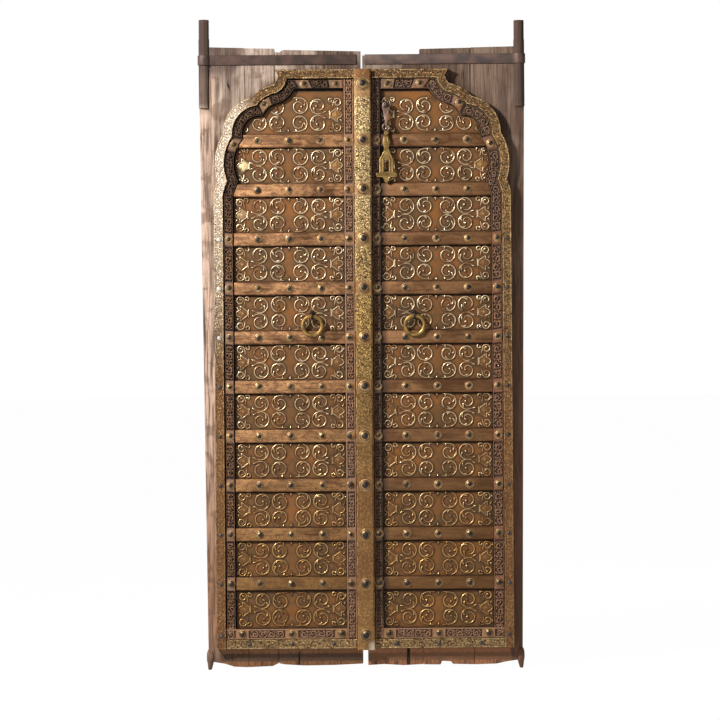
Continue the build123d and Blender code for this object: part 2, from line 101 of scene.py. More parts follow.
@dataclass(frozen=True)
class DoorSizes:
    """Sizes of the door that the dressed pieces follow, in metres."""

    face_y: float = 0.001
    rail_count: int = 10
    rail_pitch: float = 0.1586
    rail_height: float = 0.042
    rail_top: float = 1.727
    panel_depth: float = 0.008
    carved_depth: float = 0.024
    carved_recess: float = 0.0055
    border_depth: float = 0.030
    sill_depth: float = 0.027
    field_inner: float = 0.0584
    field_outer: float = 0.4152
    field_foot: float = 0.1334
    field_head: float = 1.8712
    spring: float = 1.530
    opening_reach: float = 0.449
    head: float = 1.905
    leaf_head: float = 1.98
    border_width: float = 0.030
    clearance: float = 0.0004
    shoulder: tuple[tuple[Point, Point], ...] = (
        ((0.0207, 0.062), (0.0535, 0.138)),
        ((0.0158, 0.352), (0.0998, 0.536)),
        ((0.112, 0.665), (0.2848, 0.747)),
        ((0.3346, 0.821), (0.4369, 0.868)),
        ((0.5172, 0.915), (0.5841, 1.0)),
    )

    @property
    def rail_tops(self) -> list[float]:
        """Top of each rail, from the highest down."""
        return [self.rail_top - self.rail_pitch * row for row in range(self.rail_count)]

    @property
    def rail_middles(self) -> list[float]:
        """Middle height of each rail, from the highest down."""
        return [top - self.rail_height / 2 for top in self.rail_tops]

    @property
    def field_middle(self) -> float:
        """Reach of the middle of the carved field."""
        return (self.field_inner + self.field_outer) / 2

    def y_at(self, depth: float) -> float:
        """Y of a point that far in front of the planks' face."""
        return self.face_y - depth

    def panel_spans(self) -> list[tuple[float, float]]:
        """Foot and head of each panel, from the highest down."""
        feet = [*self.rail_tops, self.field_foot]
        heads = [self.field_head, *[top - self.rail_height for top in self.rail_tops]]
        return [(foot + self.clearance, top - self.clearance) for foot, top in zip(feet, heads)]

    def arcs(self) -> list["Arc"]:
        """Arcs of the cusped shoulder, from the spring up to the flat head."""
        rise = self.field_head - self.spring

        def place(shares: Point) -> Vector:
            """Point of the shoulder from its shares of the rise."""
            return Vector((self.field_outer - rise * shares[0], self.spring + rise * shares[1]))

        arcs = []
        start = Vector((self.field_outer, self.spring))
        for via, end in self.shoulder:
            arcs.append(Arc.through(start, place(via), place(end)))
            start = place(end)
        return arcs

    def edge_line(self, grow: float = 0.0, steps: int = 14) -> list[Vector]:
        """Points up the cusped shoulder as (reach, height), the field's edge grown outwards.

        Args:
            grow: How far outside the field's own edge the line runs.
            steps: Points on each arc.

        Returns:
            The line from the spring up to the flat head, with its arcs trimmed where they meet.
        """
        arcs = [arc.grown(grow) for arc in self.arcs()]
        joints = [arcs[0].crossing_upright(self.field_outer + grow)]
        joints += [low.meeting(high) for low, high in zip(arcs, arcs[1:])]
        joints.append(arcs[-1].crossing_level(self.field_head + grow))
        line: list[Vector] = []
        for arc, start, end in zip(arcs, joints, joints[1:]):
            line += arc.points(start, end, steps)
        return line

    @cached_property
    def field_edge(self) -> list[Vector]:
        """The shoulder of the carved field, worked out once."""
        return self.edge_line()

    def field_reach(self, height: float) -> float:
        """Reach of the carved field's outer edge at a height.

        Args:
            height: Height above the floor.

        Returns:
            The reach there, from the meeting line.
        """
        if height <= self.spring:
            return self.field_outer
        line = self.field_edge
        for low, high in zip(line, line[1:]):
            if low.y <= height <= high.y:
                share = (height - low.y) / (high.y - low.y) if high.y > low.y else 0
                return low.x + (high.x - low.x) * share
        return line[-1].x


def nearest(place: Vector, points: Iterable[Vector]) -> Vector:
    """The one of some points that lies nearest a place."""
    return min(points, key=lambda point: (point - place).length)


@dataclass(frozen=True)
class Arc:
    """One arc of the shoulder, which bulges outwards or, at the very top, inwards."""

    centre: Vector
    radius: float
    sense: float
    start: Vector
    end: Vector

    @classmethod
    def through(cls, start: Vector, via: Vector, end: Vector) -> "Arc":
        """Arc from one point through another to a third.

        Args:
            start: First point.
            via: Point on the way.
            end: Last point.

        Returns:
            The arc.
        """
        a, b = via - start, end - start
        cross = a.x * b.y - a.y * b.x
        centre = start + Vector((b.y * a.length_squared - a.y * b.length_squared,
                                 a.x * b.length_squared - b.x * a.length_squared)) / (2 * cross)
        return cls(centre, (start - centre).length, 1.0 if cross > 0 else -1.0, start, end)

    def grown(self, grow: float) -> "Arc":
        """The arc moved outwards."""
        return Arc(self.centre, self.radius + grow * self.sense, self.sense, self.start, self.end)

    def crossing_upright(self, x: float) -> Vector:
        """Point of the circle on an upright line, nearest the arc's start."""
        half = math.sqrt(max(0.0, self.radius ** 2 - (x - self.centre.x) ** 2))
        return nearest(self.start, [Vector((x, self.centre.y + sign * half)) for sign in (-1, 1)])

    def crossing_level(self, z: float) -> Vector:
        """Point of the circle on a level line, nearest the arc's end."""
        half = math.sqrt(max(0.0, self.radius ** 2 - (z - self.centre.y) ** 2))
        return nearest(self.end, [Vector((self.centre.x + sign * half, z)) for sign in (-1, 1)])

    def meeting(self, other: "Arc") -> Vector:
        """Point where two circles cross, nearest this arc's end."""
        apart = other.centre - self.centre
        along = (self.radius ** 2 - other.radius ** 2 + apart.length_squared) / (2 * apart.length)
        half = math.sqrt(max(0.0, self.radius ** 2 - along ** 2))
        line = apart.normalized()
        side = Vector((-line.y, line.x))
        return nearest(self.end, [self.centre + line * along + side * half * sign for sign in (-1, 1)])

    def points(self, start: Vector, end: Vector, steps: int) -> list[Vector]:
        """Points along the circle from one point to another, the short way."""
        first = math.atan2(start.y - self.centre.y, start.x - self.centre.x)
        last = math.atan2(end.y - self.centre.y, end.x - self.centre.x)
        turn = (last - first + math.pi) % math.tau - math.pi
        angles = [first + turn * step / steps for step in range(steps + 1)]
        return [self.centre + Vector((math.cos(a), math.sin(a))) * self.radius for a in angles]


@dataclass(frozen=True)
class DomeForm:
    """Turned form of the studs and bosses, with where its parts lie as shares of the way from foot to top."""

    profile: tuple[Point, ...] = ((0.0, 0.0), (1.0, 0.0), (0.98, 0.20), (0.90, 0.24), (0.85, 0.17), (0.76, 0.52),
                                  (0.64, 0.80), (0.50, 0.94), (0.43, 1.17), (0.0, 1.30))
    rim: float = 2.6 / 9
    groove: float = 4.0 / 9
    nail: float = 7.4 / 9
    segments: int = 12
    tilt: float = 0.12
    spin: float = 0.5
    swell: float = 0.07


SIZES = DoorSizes()
DOME = DomeForm()


def feed(tree: bpy.types.NodeTree, node: bpy.types.Node, inputs: dict) -> None:
    """Feeds a node's sockets.

    Args:
        tree: Tree of the node.
        node: The node.
        inputs: Socket name or number to a value, to another node's output, or to None to leave it alone.
    """
    for key, value in inputs.items():
        if isinstance(value, Socket):
            tree.links.new(value, node.inputs[key])
        elif value is not None:
            node.inputs[key].default_value = value


def add_node(tree: bpy.types.NodeTree, kind: str, inputs: dict | None = None, **settings: object) -> bpy.types.Node:
    """Adds a node to a tree, sets its properties and feeds its sockets.

    Args:
        tree: Tree that the node goes into.
        kind: Blender's name of the node type.
        inputs: Socket name or number to a value or to another node's output.
        settings: Properties of the node.

    Returns:
        The new node.
    """
    made = tree.nodes.new(kind)
    for name, value in settings.items():
        setattr(made, name, value)
    feed(tree, made, inputs or {})
    return made


class Shader:
    """A node material under construction, with short calls for the nodes it uses."""

    def __init__(self, name: str) -> None:
        """Starts a material with one principled shader.

        Args:
            name: Name of the material.
        """
        self.material = bpy.data.materials.new(name)
        self.material.use_nodes = True
        self.tree = self.material.node_tree
        self.body = self.tree.nodes["Principled BSDF"]
        self.coords = self.node("TexCoord").outputs["Object"]
        self.x, self.y, self.z = self.node("SeparateXYZ", {0: self.coords}).outputs

    def node(self, kind: str, inputs: dict | None = None, **settings: object) -> bpy.types.Node:
        """Adds a shader node, named without its prefix."""
        return add_node(self.tree, f"ShaderNode{kind}", inputs, **settings)

    def stretched(self, x: float, y: float, z: float) -> Socket:
        """Object coordinates scaled along each axis."""
        return self.node("Mapping", {"Vector": self.coords, "Scale": (x, y, z)}).outputs["Vector"]

    def noise(self, scale: float, detail: float = 4.0, vector: Socket | None = None,
              distortion: float = 0.0) -> Socket:
        """Noise over the object coordinates, or over the coordinates given."""
        return self.node("TexNoise", {"Vector": vector or self.coords, "Scale": scale, "Detail": detail,
                                      "Distortion": distortion}).outputs[0]

    def cells(self, scale: float, vector: Socket | None = None) -> Socket:
        """Distance field of scattered cells."""
        return self.node("TexVoronoi", {"Vector": vector or self.coords, "Scale": scale}).outputs["Distance"]

    def attribute(self, name: str) -> Socket:
        """A level that the mesh carries at its corners."""
        return self.node("Attribute", attribute_name=name).outputs["Fac"]

    def ramp(self, level: Socket, low: float, high: float) -> Socket:
        """Level stretched so that low becomes 0 and high becomes 1, clamped."""
        return self.node("MapRange", {"Value": level, "From Min": low, "From Max": high}).outputs["Result"]

    def depth(self, low: float, high: float) -> Socket:
        """How far a point lies between two depths in front of the planks' face."""
        return self.ramp(self.y, SIZES.y_at(low), SIZES.y_at(high))

    def sums(self, operation: str, *levels: Level) -> Socket:
        """Arithmetic on levels, from the first to the last."""
        first, *others = levels
        for other in others:
            first = self.node("Math", {0: first, 1: other}, operation=operation).outputs[0]
        return first

    def times(self, *levels: Level) -> Socket:
        """Levels multiplied."""
        return self.sums("MULTIPLY", *levels)

    def plus(self, *levels: Level) -> Socket:
        """Levels added."""
        return self.sums("ADD", *levels)

    def minus(self, first: Level, second: Level) -> Socket:
        """One level less another."""
        return self.sums("SUBTRACT", first, second)

    def rest(self, level: Level) -> Socket:
        """What a share leaves of the whole."""
        return self.minus(1.0, level)

    def most(self, *levels: Level) -> Socket:
        """The greatest of levels."""
        return self.sums("MAXIMUM", *levels)

    def apart(self, first: Level, second: Level) -> Socket:
        """How far apart two levels are."""
        return self.node("Math", {0: self.minus(first, second)}, operation="ABSOLUTE").outputs[0]

    def reach(self) -> Socket:
        """Distance from the meeting line."""
        return self.apart(self.x, 0.0)

    def mix(self, level: Level, first: Paint, second: Paint) -> Socket:
        """Colour mixed from two by a level."""
        made = self.node("Mix", data_type="RGBA", clamp_factor=True)
        feed(self.tree, made, {0: level, 6: first, 7: second})
        return made.outputs[2]

    def over(self, ground: Paint, tint: Paint, *levels: Level) -> Socket:
        """Colour with a tint laid over it, by levels multiplied."""
        return self.mix(self.times(*levels), ground, tint)

    def bump(self, height: Socket, distance: float, strength: float) -> Socket:
        """Surface tilted by a height."""
        return self.node("Bump", {"Height": height, "Distance": distance, "Strength": strength}).outputs["Normal"]

    def finish(self, colour: Paint, roughness: Level, metallic: Level = 0.0, normal: Socket | None = None,
               sheen: float = 0.5) -> Material:
        """Feeds the principled shader and gives the material.

        Args:
            colour: Base colour, constant or from a node.
            roughness: Roughness, constant or from a node.
            metallic: Metallic share, constant or from a node.
            normal: Bumped normal, if any.
            sheen: Level of the plain reflection.

        Returns:
            The finished material.
        """
        feed(self.tree, self.body, {"Base Color": colour, "Roughness": roughness, "Metallic": metallic,
                                    "Normal": normal, "Specular IOR Level": sheen})
        return self.material


class Finish(Protocol):
    """A finish of the door, which can make its material."""

    def material(self) -> Material:
        """Builds the finish."""


@dataclass(frozen=True)
class WeatheredPlanks:
    """Bare old planks: grey worn grain with cracks, paler patches in front, painted light on the left leaf's outer
    edge and a darker rotten foot whose middle band is painted shade of a recess, partly weathering.
    """

    name: str = "weathered_planks"
    level: bool = False
    dark: Colour = tone(62, 47, 38)
    grain: Colour = tone(118, 96, 80)
    pale: Colour = tone(170, 150, 134)
    # The two flank colours below are painted light: the left leaf's outer edge is made paler, as if lit from the left.
    flank: Colour = tone(184, 156, 136)
    lit_flank_tan: Colour = tone(146, 108, 82)
    warm: Colour = tone(110, 74, 52)
    brown: Colour = tone(88, 65, 51)
    smoke: Colour = tone(86, 71, 63)
    post: Colour = tone(68, 52, 45)
    rot: Colour = tone(128, 86, 54)
    # The sunk colours below are the foot's dark middle band: painted shade of a recess, partly weathering.
    sunk: Colour = tone(68, 52, 41)
    pale_rot: Colour = tone(148, 100, 68)
    pale_sunk_shade: Colour = tone(104, 73, 53)
    crack: Colour = tone(24, 18, 15)

    def along(self, shade: Shader, scale: float, detail: float, stretch: float, distortion: float) -> Socket:
        """Noise drawn out along the grain."""
        lengths = (stretch, 1.0, 1.0) if self.level else (1.0, 1.0, stretch)
        return shade.noise(scale, detail, shade.stretched(*lengths), distortion)

    def front(self, shade: Shader) -> Socket:
        """Share of the carved side."""
        return shade.ramp(shade.y, 0.022, 0.010)

    def weather(self, shade: Shader, colour: Socket, fine: Socket) -> Socket:
        """Lays the wear of the carved side over the bare grain, and painted light on the left leaf's outer edge.

        Args:
            shade: Material under construction.
            colour: Bare grain.
            fine: Fine grain, which frays the edges of the wear.

        Returns:
            The worn colour.
        """
        patch = shade.noise(7.5, 7, shade.stretched(1.0, 1.0, 0.6), 0.8)
        x, z = shade.x, shade.z
        front = self.front(shade)
        right = shade.ramp(x, -0.1, 0.2)
        left = shade.rest(right)
        colour = shade.over(colour, self.brown, right, 0.55)
        share = shade.times(shade.ramp(z, 0.4, 1.7), front, shade.plus(0.15, shade.times(left, 0.7)))
        colour = shade.over(colour, self.pale, shade.ramp(patch, 0.45, 0.58), share)
        # Painted light: the left leaf's outer edge is made paler, as if lit from the left.
        flank = shade.times(shade.ramp(x, -0.468, -0.48), shade.ramp(fine, 0.2, 0.6))
        flank = shade.times(flank, shade.ramp(z, 0.02, 0.12), front)
        colour = shade.over(colour, shade.mix(shade.ramp(z, 0.9, 0.3), self.flank, self.lit_flank_tan), flank)
        smoke = shade.times(shade.ramp(z, 1.905, 1.935), shade.ramp(x, -0.35, -0.4))
        return shade.over(colour, self.smoke, smoke, shade.ramp(patch, 0.62, 0.45))

    def rotten(self, shade: Shader, colour: Socket, fine: Socket) -> Socket:
        """Lays the three ragged bands of the foot over the planks; the dark middle band is painted shade of a recess,
        partly weathering.

        Args:
            shade: Material under construction.
            colour: Planks above the foot.
            fine: Fine grain, which frays the bands.

        Returns:
            The colour with its foot.
        """
        reach = shade.reach()
        ragged = shade.plus(shade.z, shade.times(shade.minus(fine, 0.5), 0.01))
        foot = shade.times(shade.ramp(reach, 0.474, 0.462), self.front(shade))
        streak = shade.ramp(shade.noise(210, 2, shade.stretched(1.0, 1.0, 0.12)), 0.36, 0.52)
        right = shade.ramp(shade.x, -0.01, 0.01)
        rot = shade.mix(right, self.rot, self.pale_rot)
        sunk = shade.mix(right, self.sunk, self.pale_sunk_shade)
        # The middle band is painted shade of a recess, partly weathering; the other two are rot.
        for top, share, tint in ((0.0655, 0.7, rot), (0.052, 0.9, sunk), (0.0265, 0.85, rot)):
            band = shade.times(shade.ramp(ragged, top + 0.0025, top - 0.0025), foot)
            colour = shade.over(colour, tint, band, share)
        frayed = shade.times(shade.ramp(ragged, 0.029, 0.024), shade.rest(streak))
        return shade.over(colour, self.dark, frayed, foot, 0.75)

    def material(self) -> Material:
        """Builds the finish."""
        shade = Shader(self.name)
        fine = self.along(shade, 190, 9, 0.045, 0.5)
        broad = self.along(shade, 26, 6, 0.07, 0.9)
        blotch = shade.noise(19, 6, None, 0.6)
        split = shade.apart(self.along(shade, 30, 1, 0.03, 0.3), 0.5)
        cracks = shade.times(shade.ramp(split, 0.007, 0.003),
                             shade.ramp(self.along(shade, 11, 1, 0.35, 0.0), 0.61, 0.65))
        cracks = shade.times(cracks, shade.ramp(shade.reach(), 0.474, 0.468))
        z = shade.z
        colour = shade.mix(shade.ramp(fine, 0.34, 0.66), self.dark, self.grain)
        if not self.level:
            colour = self.weather(shade, colour, fine)
        warmth = shade.times(shade.ramp(z, 1.6, 0.3), shade.ramp(shade.x, -0.48, 0.4))
        colour = shade.over(colour, self.warm, warmth, 0.75)
        colour = shade.over(colour, self.dark, shade.ramp(fine, 0.5, 0.36), 0.5)
        colour = shade.over(colour, self.dark, shade.ramp(broad, 0.5, 0.68), 0.6)
        colour = shade.over(colour, self.brown, shade.ramp(blotch, 0.52, 0.64), 0.6)
        if not self.level:
            post = shade.times(shade.ramp(shade.reach(), 0.486, 0.496), shade.ramp(z, 1.79, 1.83))
            colour = shade.over(colour, self.post, post, 0.85)
            colour = self.rotten(shade, colour, fine)
        colour = shade.over(colour, self.crack, cracks)
        relief = shade.minus(shade.plus(fine, shade.times(blotch, 0.5)), cracks)
        return shade.finish(colour, 0.85, 0.0, shade.bump(relief, 0.0026, 0.9), 0.2)


@dataclass(frozen=True)
class CarvedWood:
    """Dark carved wood with paler plain blocks, worn pinkish on the meeting side and at the foot; painted shade makes
    its deep gaps near black, and painted shadow darkens the left leaf's arch and the right leaf's meeting strip.
    """

    # The gap colours are painted shade for the floor of the band's gaps, less dark on the right leaf.
    gap: Colour = tone(20, 14, 11)
    dark: Colour = tone(22, 15, 11)
    ridge: Colour = tone(142, 102, 74)
    old_ridge: Colour = tone(128, 92, 64)
    worn: Colour = tone(144, 109, 83)
    sunk: Colour = tone(90, 66, 52)
    open_gap: Colour = tone(52, 39, 30)
    grey: Colour = tone(106, 85, 67)
    block: Colour = tone(120, 89, 70)
    red_block: Colour = tone(104, 63, 43)
    foot_block: Colour = tone(132, 95, 62)
    foot_sunk: Colour = tone(88, 62, 42)
    shadow: Colour = tone(40, 28, 22)

    def material(self) -> Material:
        """Builds the finish."""
        shade = Shader("carved_wood")
        fine = shade.noise(240, 6, shade.stretched(1.0, 1.0, 0.3), 0.4)
        blotch = shade.noise(22, 5, None, 0.5)
        block = shade.attribute("block")
        x = shade.x
        front = shade.depth(SIZES.carved_depth - SIZES.carved_recess + 0.0013, SIZES.carved_depth - 0.0010)
        meeting = shade.ramp(shade.reach(), 0.09, 0.06)
        foot = shade.ramp(shade.z, 0.142, 0.134)
        worn = shade.most(meeting, foot)
        outer = shade.ramp(x, 0.08, 0.2)
        right = shade.ramp(x, -0.1, 0.1)
        facing = shade.times(outer, 0.45)
        low = shade.mix(shade.most(shade.times(worn, 0.55), facing), self.dark, self.sunk)
        low = shade.mix(shade.times(foot, 0.75), low, self.foot_sunk)
        high = shade.mix(worn, shade.mix(right, self.old_ridge, self.ridge), self.worn)
        # Painted shadow: the brass border's shadow on the left leaf's arch darkens the ridges there; on the right leaf
        # they only turn grey.
        arch = shade.times(shade.rest(worn), shade.ramp(shade.z, 1.3, 1.55))
        high = shade.mix(shade.times(arch, 0.6), high, shade.mix(right, self.shadow, self.grey))
        colour = shade.mix(shade.times(front, shade.ramp(fine, 0.1, 0.6)), low, high)
        plain = shade.times(block, shade.ramp(blotch, 0.15, 0.6))
        block_tint = shade.mix(foot, shade.mix(outer, self.block, self.red_block), self.foot_block)
        colour = shade.over(colour, block_tint, plain, 0.9)
        # Painted shadow of the astragal on the right leaf's meeting strip, darkest along its outer rim.
        behind = shade.times(meeting, shade.ramp(x, 0.0, 0.01), shade.ramp(shade.z, 0.11, 0.2))
        edge = shade.times(shade.ramp(x, 0.05, 0.054), shade.ramp(x, 0.06, 0.0586))
        colour = shade.over(colour, self.shadow, shade.most(shade.times(edge, 0.9), 0.5), behind)
        # Painted shade: every surface less than 15 mm in front of the planks, the floor and walls of the band's gaps,
        # is made near black.
        gap = shade.mix(outer, self.gap, self.open_gap)
        colour = shade.over(colour, gap, shade.depth(0.0178, 0.0150))
        return shade.finish(colour, shade.ramp(fine, -0.9, 1.2), 0.0, shade.bump(fine, 0.0014, 0.7), 0.25)


@dataclass(frozen=True)
class EmbossedBrass:
    """Embossed panel sheet: brown tarnished ground with ridges rubbed to pale gold and gilt buds; grime with painted
    shade beside the strokes and edges, a painted shadow beside the astragal and painted light on the upper buds.
    """

    ground: Colour = tone(127, 78, 29)
    olive: Colour = tone(94, 63, 27)
    mauve: Colour = tone(108, 76, 48)
    # Darkest colour: grime and painted shade beside the strokes, and the painted shadow beside the astragal.
    grime_and_shadow: Colour = tone(40, 29, 17)
    gold: Colour = tone(236, 210, 168)
    low_gold: Colour = tone(198, 158, 98)
    gilt: Colour = tone(106, 70, 32)
    # The two gilt colours below are painted light on the upper buds.
    painted_lit_gilt: Colour = tone(130, 91, 44)
    painted_highlight_gilt: Colour = tone(208, 184, 138)

    def material(self) -> Material:
        """Builds the finish."""
        shade = Shader("embossed_panel_brass")
        blotch = shade.noise(11, 6, None, 0.6)
        fine = shade.noise(150, 5)
        x, z = shade.x, shade.z
        grime_and_shade = shade.attribute("grime_and_shade")
        gilt = shade.attribute("gilt")
        lift = shade.depth(SIZES.panel_depth + 0.0016, SIZES.panel_depth + 0.0036)
        ground = shade.mix(shade.ramp(blotch, 0.38, 0.62), self.ground, self.olive)
        mottle = shade.ramp(shade.noise(62, 6, None, 0.7), 0.46, 0.62)
        left = shade.minus(0.5, shade.times(shade.ramp(x, -0.05, 0.05), 0.28))
        ground = shade.over(ground, self.mauve, mottle, left)
        # Grime and painted shade: the ground is darkened beside the strokes and along the panel's edges, where shade
        # falls.
        grime_and_painted_shade = shade.times(grime_and_shade, shade.ramp(fine, 0.1, 0.5))
        ground = shade.over(ground, self.grime_and_shadow, grime_and_painted_shade, 0.9)
        # Painted light: the buds of the upper panels turn golden, and paler still on the upper left, as if lit from
        # there.
        high = shade.ramp(z, 1.42, 1.6)
        plate = shade.mix(high, self.gilt, self.painted_lit_gilt)
        plate = shade.mix(shade.times(high, shade.ramp(x, -0.3, -0.36)), plate, self.painted_highlight_gilt)
        ground = shade.over(ground, plate, gilt, shade.ramp(fine, 0.1, 0.45))
        # Painted shadow of the astragal and meeting strip on the right leaf's panels; it also dims the rubbed gold
        # there.
        behind = shade.times(shade.ramp(x, 0.082, 0.062), shade.ramp(x, 0.0, 0.02))
        ground = shade.over(ground, self.grime_and_shadow, behind, 0.7)
        rubbed = shade.times(lift, shade.ramp(shade.noise(48, 3), 0.34, 0.56))
        rubbed = shade.times(rubbed, shade.rest(shade.times(behind, 0.5)))
        gold = shade.mix(shade.ramp(z, 1.1, 0.4), self.gold, self.low_gold)
        colour = shade.over(ground, gold, rubbed)
        rough = shade.minus(0.6, shade.times(rubbed, 0.33))
        metal = shade.plus(0.45, shade.times(rubbed, 0.5))
        return shade.finish(colour, rough, metal, shade.bump(fine, 0.0008, 0.5))


@dataclass(frozen=True)
class RailBrass:
    """Plain sheet on the rails: satin copper brown brushed along its length, more golden low down; painted shade
    darkens the right leaf's rails and a painted shadow lies beside the astragal.
    """

    dull: Colour = tone(86, 52, 21)
    bright: Colour = tone(186, 136, 90)
    mauve: Colour = tone(104, 71, 50)
    # Real stains, and the painted shadow beside the astragal.
    stain_and_shadow: Colour = tone(52, 35, 22)
    olive: Colour = tone(136, 98, 50)

    def material(self) -> Material:
        """Builds the finish."""
        shade = Shader("rail_brass")
        cloud = shade.noise(36, 7, shade.stretched(0.45, 1.0, 1.0), 0.8)
        wide = shade.noise(8, 4, shade.stretched(0.6, 1.0, 1.0), 0.4)
        streak = shade.noise(150, 5, shade.stretched(0.05, 1.0, 1.0), 0.3)
        fine = shade.noise(320, 5)
        low = shade.ramp(shade.z, 1.0, 0.25)
        right = shade.ramp(shade.x, 0.0, 0.05)
        bright = shade.mix(low, self.bright, self.olive)
        level = shade.plus(shade.times(cloud, 0.3), shade.times(wide, 0.4), shade.times(streak, 0.3))
        colour = shade.mix(shade.ramp(level, 0.425, 0.54), self.dull, bright)
        speckle = shade.ramp(shade.noise(120, 6, shade.stretched(0.6, 1.0, 1.0), 0.6), 0.48, 0.6)
        mottle = shade.minus(0.7, shade.times(right, 0.5))
        colour = shade.over(colour, self.mauve, speckle, mottle)
        # Painted shade: the right leaf's rails are darkened, as the light falls from the left.
        colour = shade.over(colour, self.dull, right, 0.62)
        # Painted shadow of the astragal and meeting strip on the right leaf's rails.
        behind = shade.times(shade.ramp(shade.x, 0.082, 0.067), shade.ramp(shade.x, 0.0, 0.02))
        colour = shade.over(colour, self.stain_and_shadow, behind, 0.85)
        colour = shade.over(colour, self.stain_and_shadow, shade.ramp(streak, 0.52, 0.7), 0.55)
        colour = shade.over(colour, self.stain_and_shadow, shade.ramp(fine, 0.53, 0.64), 0.65)
        rough = shade.ramp(shade.plus(shade.times(cloud, 0.3), shade.times(fine, 0.2)), -0.4, 0.7)
        relief = shade.plus(shade.times(cloud, 0.6), shade.times(streak, 0.5))
        return shade.finish(colour, rough, 0.6, shade.bump(relief, 0.0016, 0.6))


@dataclass(frozen=True)
class EngravedBrass:
    """Chased sheet of the border, sill strip and astragal: curling engraving with tarnish in its lines; a painted
    highlight makes the left leaf's upper outer border silvery, and its raised edges and specks are rubbed and painted
    with glints.
    """

    line: Colour = tone(46, 30, 15)
    gold: Colour = tone(224, 191, 134)
    olive_gold: Colour = tone(204, 165, 96)
    gold_line: Colour = tone(62, 44, 22)
    border: Colour = tone(166, 127, 78)
    # The silver colours below paint the highlight on the upper left; silver is also laid on the astragal's tip.
    silver: Colour = tone(222, 208, 188)
    silver_line: Colour = tone(142, 118, 96)
    dull: Colour = tone(108, 75, 42)
    copper: Colour = tone(146, 95, 56)
    rubbed: Colour = tone(230, 198, 144)
    middle: float = 0.003
    half: float = 0.0292

    def chased(self, shade: Shader) -> Socket:
        """Height of the engraving, from 0 in its lines to 1 on the sheet."""
        flat = shade.stretched(1.0, 0.15, 1.0)
        vine = shade.apart(shade.noise(62, 1.0, flat, 2.4), 0.5)
        petals = shade.ramp(shade.cells(165, flat), 0.62, 0.3)
        cut = shade.plus(shade.times(shade.ramp(vine, 0.012, 0.055), 0.6), shade.times(petals, 0.5))
        return shade.times(shade.ramp(cut, 0.3, 0.95), shade.ramp(shade.noise(340, 4), 0.2, 0.5))

    def worn(self, shade: Shader, inside: Socket, sill: Socket) -> Socket:
        """Where the raised edges and specks are bright: partly rubbed wear, partly painted glints.

        Args:
            shade: Material under construction.
            inside: Share of the astragal.
            sill: Share of the sill strip.

        Returns:
            The share of bright metal.
        """
        outside = shade.rest(inside)
        edges = [shade.depth(top - 0.0007, top - 0.0001) for top in (SIZES.border_depth, SIZES.sill_depth)]
        edge = shade.most(edges[0], shade.times(edges[1], sill))
        speck = shade.ramp(shade.noise(185, 2), 0.58, 0.68)
        broken = shade.ramp(shade.noise(60, 3), 0.4, 0.55)
        lively = shade.most(sill, shade.plus(0.35, shade.times(shade.ramp(shade.z, 0.5, 1.3), 0.65)))
        border = shade.most(shade.times(edge, 0.4), shade.times(speck, 0.5))
        border = shade.times(outside, border, lively)
        across = shade.apart(shade.x, self.middle)
        side = shade.times(shade.ramp(across, self.half - 0.004, self.half - 0.0015), inside)
        return shade.times(shade.most(border, shade.times(side, 0.75)), broken)

    def material(self) -> Material:
        """Builds the finish."""
        shade = Shader("engraved_brass")
        cut = self.chased(shade)
        patch = shade.noise(6.5, 5, None, 0.5)
        x, z = shade.x, shade.z
        across = shade.apart(x, self.middle)
        inside = shade.ramp(across, self.half + 0.0005, self.half + 0.0001)
        outside = shade.rest(inside)
        sill = shade.times(shade.ramp(z, 0.1016, 0.1004), outside, shade.ramp(across, 0.451, 0.447))
        beat = shade.sums("PINGPONG", shade.minus(z, SIZES.rail_middles[0]), SIZES.rail_pitch / 2)
        plain = shade.times(shade.most(shade.ramp(beat, 0.026, 0.019), shade.ramp(z, 1.89, 1.902)), inside)
        # Painted highlight: the left leaf's outer border, from about mid-height up, is made silvery bright where the
        # light falls.
        bright = shade.times(shade.ramp(x, -0.34, -0.4), shade.ramp(z, 0.95, 1.5))
        colour = shade.mix(inside, self.border, shade.mix(shade.ramp(z, 1.5, 1.15), self.gold, self.olive_gold))
        low = shade.plus(0.2, shade.times(shade.ramp(z, 1.5, 0.8), 0.5))
        colour = shade.over(colour, self.dull, shade.ramp(patch, 0.3, 0.6), low)
        colour = shade.over(colour, self.silver, bright, shade.ramp(patch, 0.2, 0.42))
        lintel = shade.times(shade.ramp(z, 1.72, 1.8), shade.minus(outside, bright))
        colour = shade.over(colour, self.dull, lintel, 0.6)
        colour = shade.over(colour, self.gold, sill, 0.22)
        crown = shade.times(shade.ramp(z, 1.885, 1.905), inside)
        colour = shade.over(colour, self.dull, crown, 0.8)
        flank = shade.times(shade.minus(outside, sill), shade.ramp(z, 1.15, 0.85))
        copper = shade.plus(shade.times(inside, shade.ramp(z, 0.95, 0.6)), shade.times(flank, 0.9))
        colour = shade.over(colour, self.copper, shade.most(plain, copper), 0.6)
        cut = shade.most(cut, shade.times(plain, 0.7), shade.times(copper, 0.45))
        # In the painted highlight the cut lines are paler too.
        tarnish = shade.mix(bright, shade.mix(inside, self.line, self.gold_line), self.silver_line)
        colour = shade.mix(cut, tarnish, colour)
        # Rubbed wear and painted glints on the raised edges and specks.
        colour = shade.over(colour, self.rubbed, self.worn(shade, inside, sill))
        tip = shade.times(inside, shade.ramp(z, 0.1, 0.08), shade.ramp(x, 0.006, 0.024))
        colour = shade.over(colour, self.silver, tip, 0.7)
        return shade.finish(colour, shade.ramp(cut, 2.3, -1.2), 0.72, shade.bump(cut, 0.0014, 0.8))


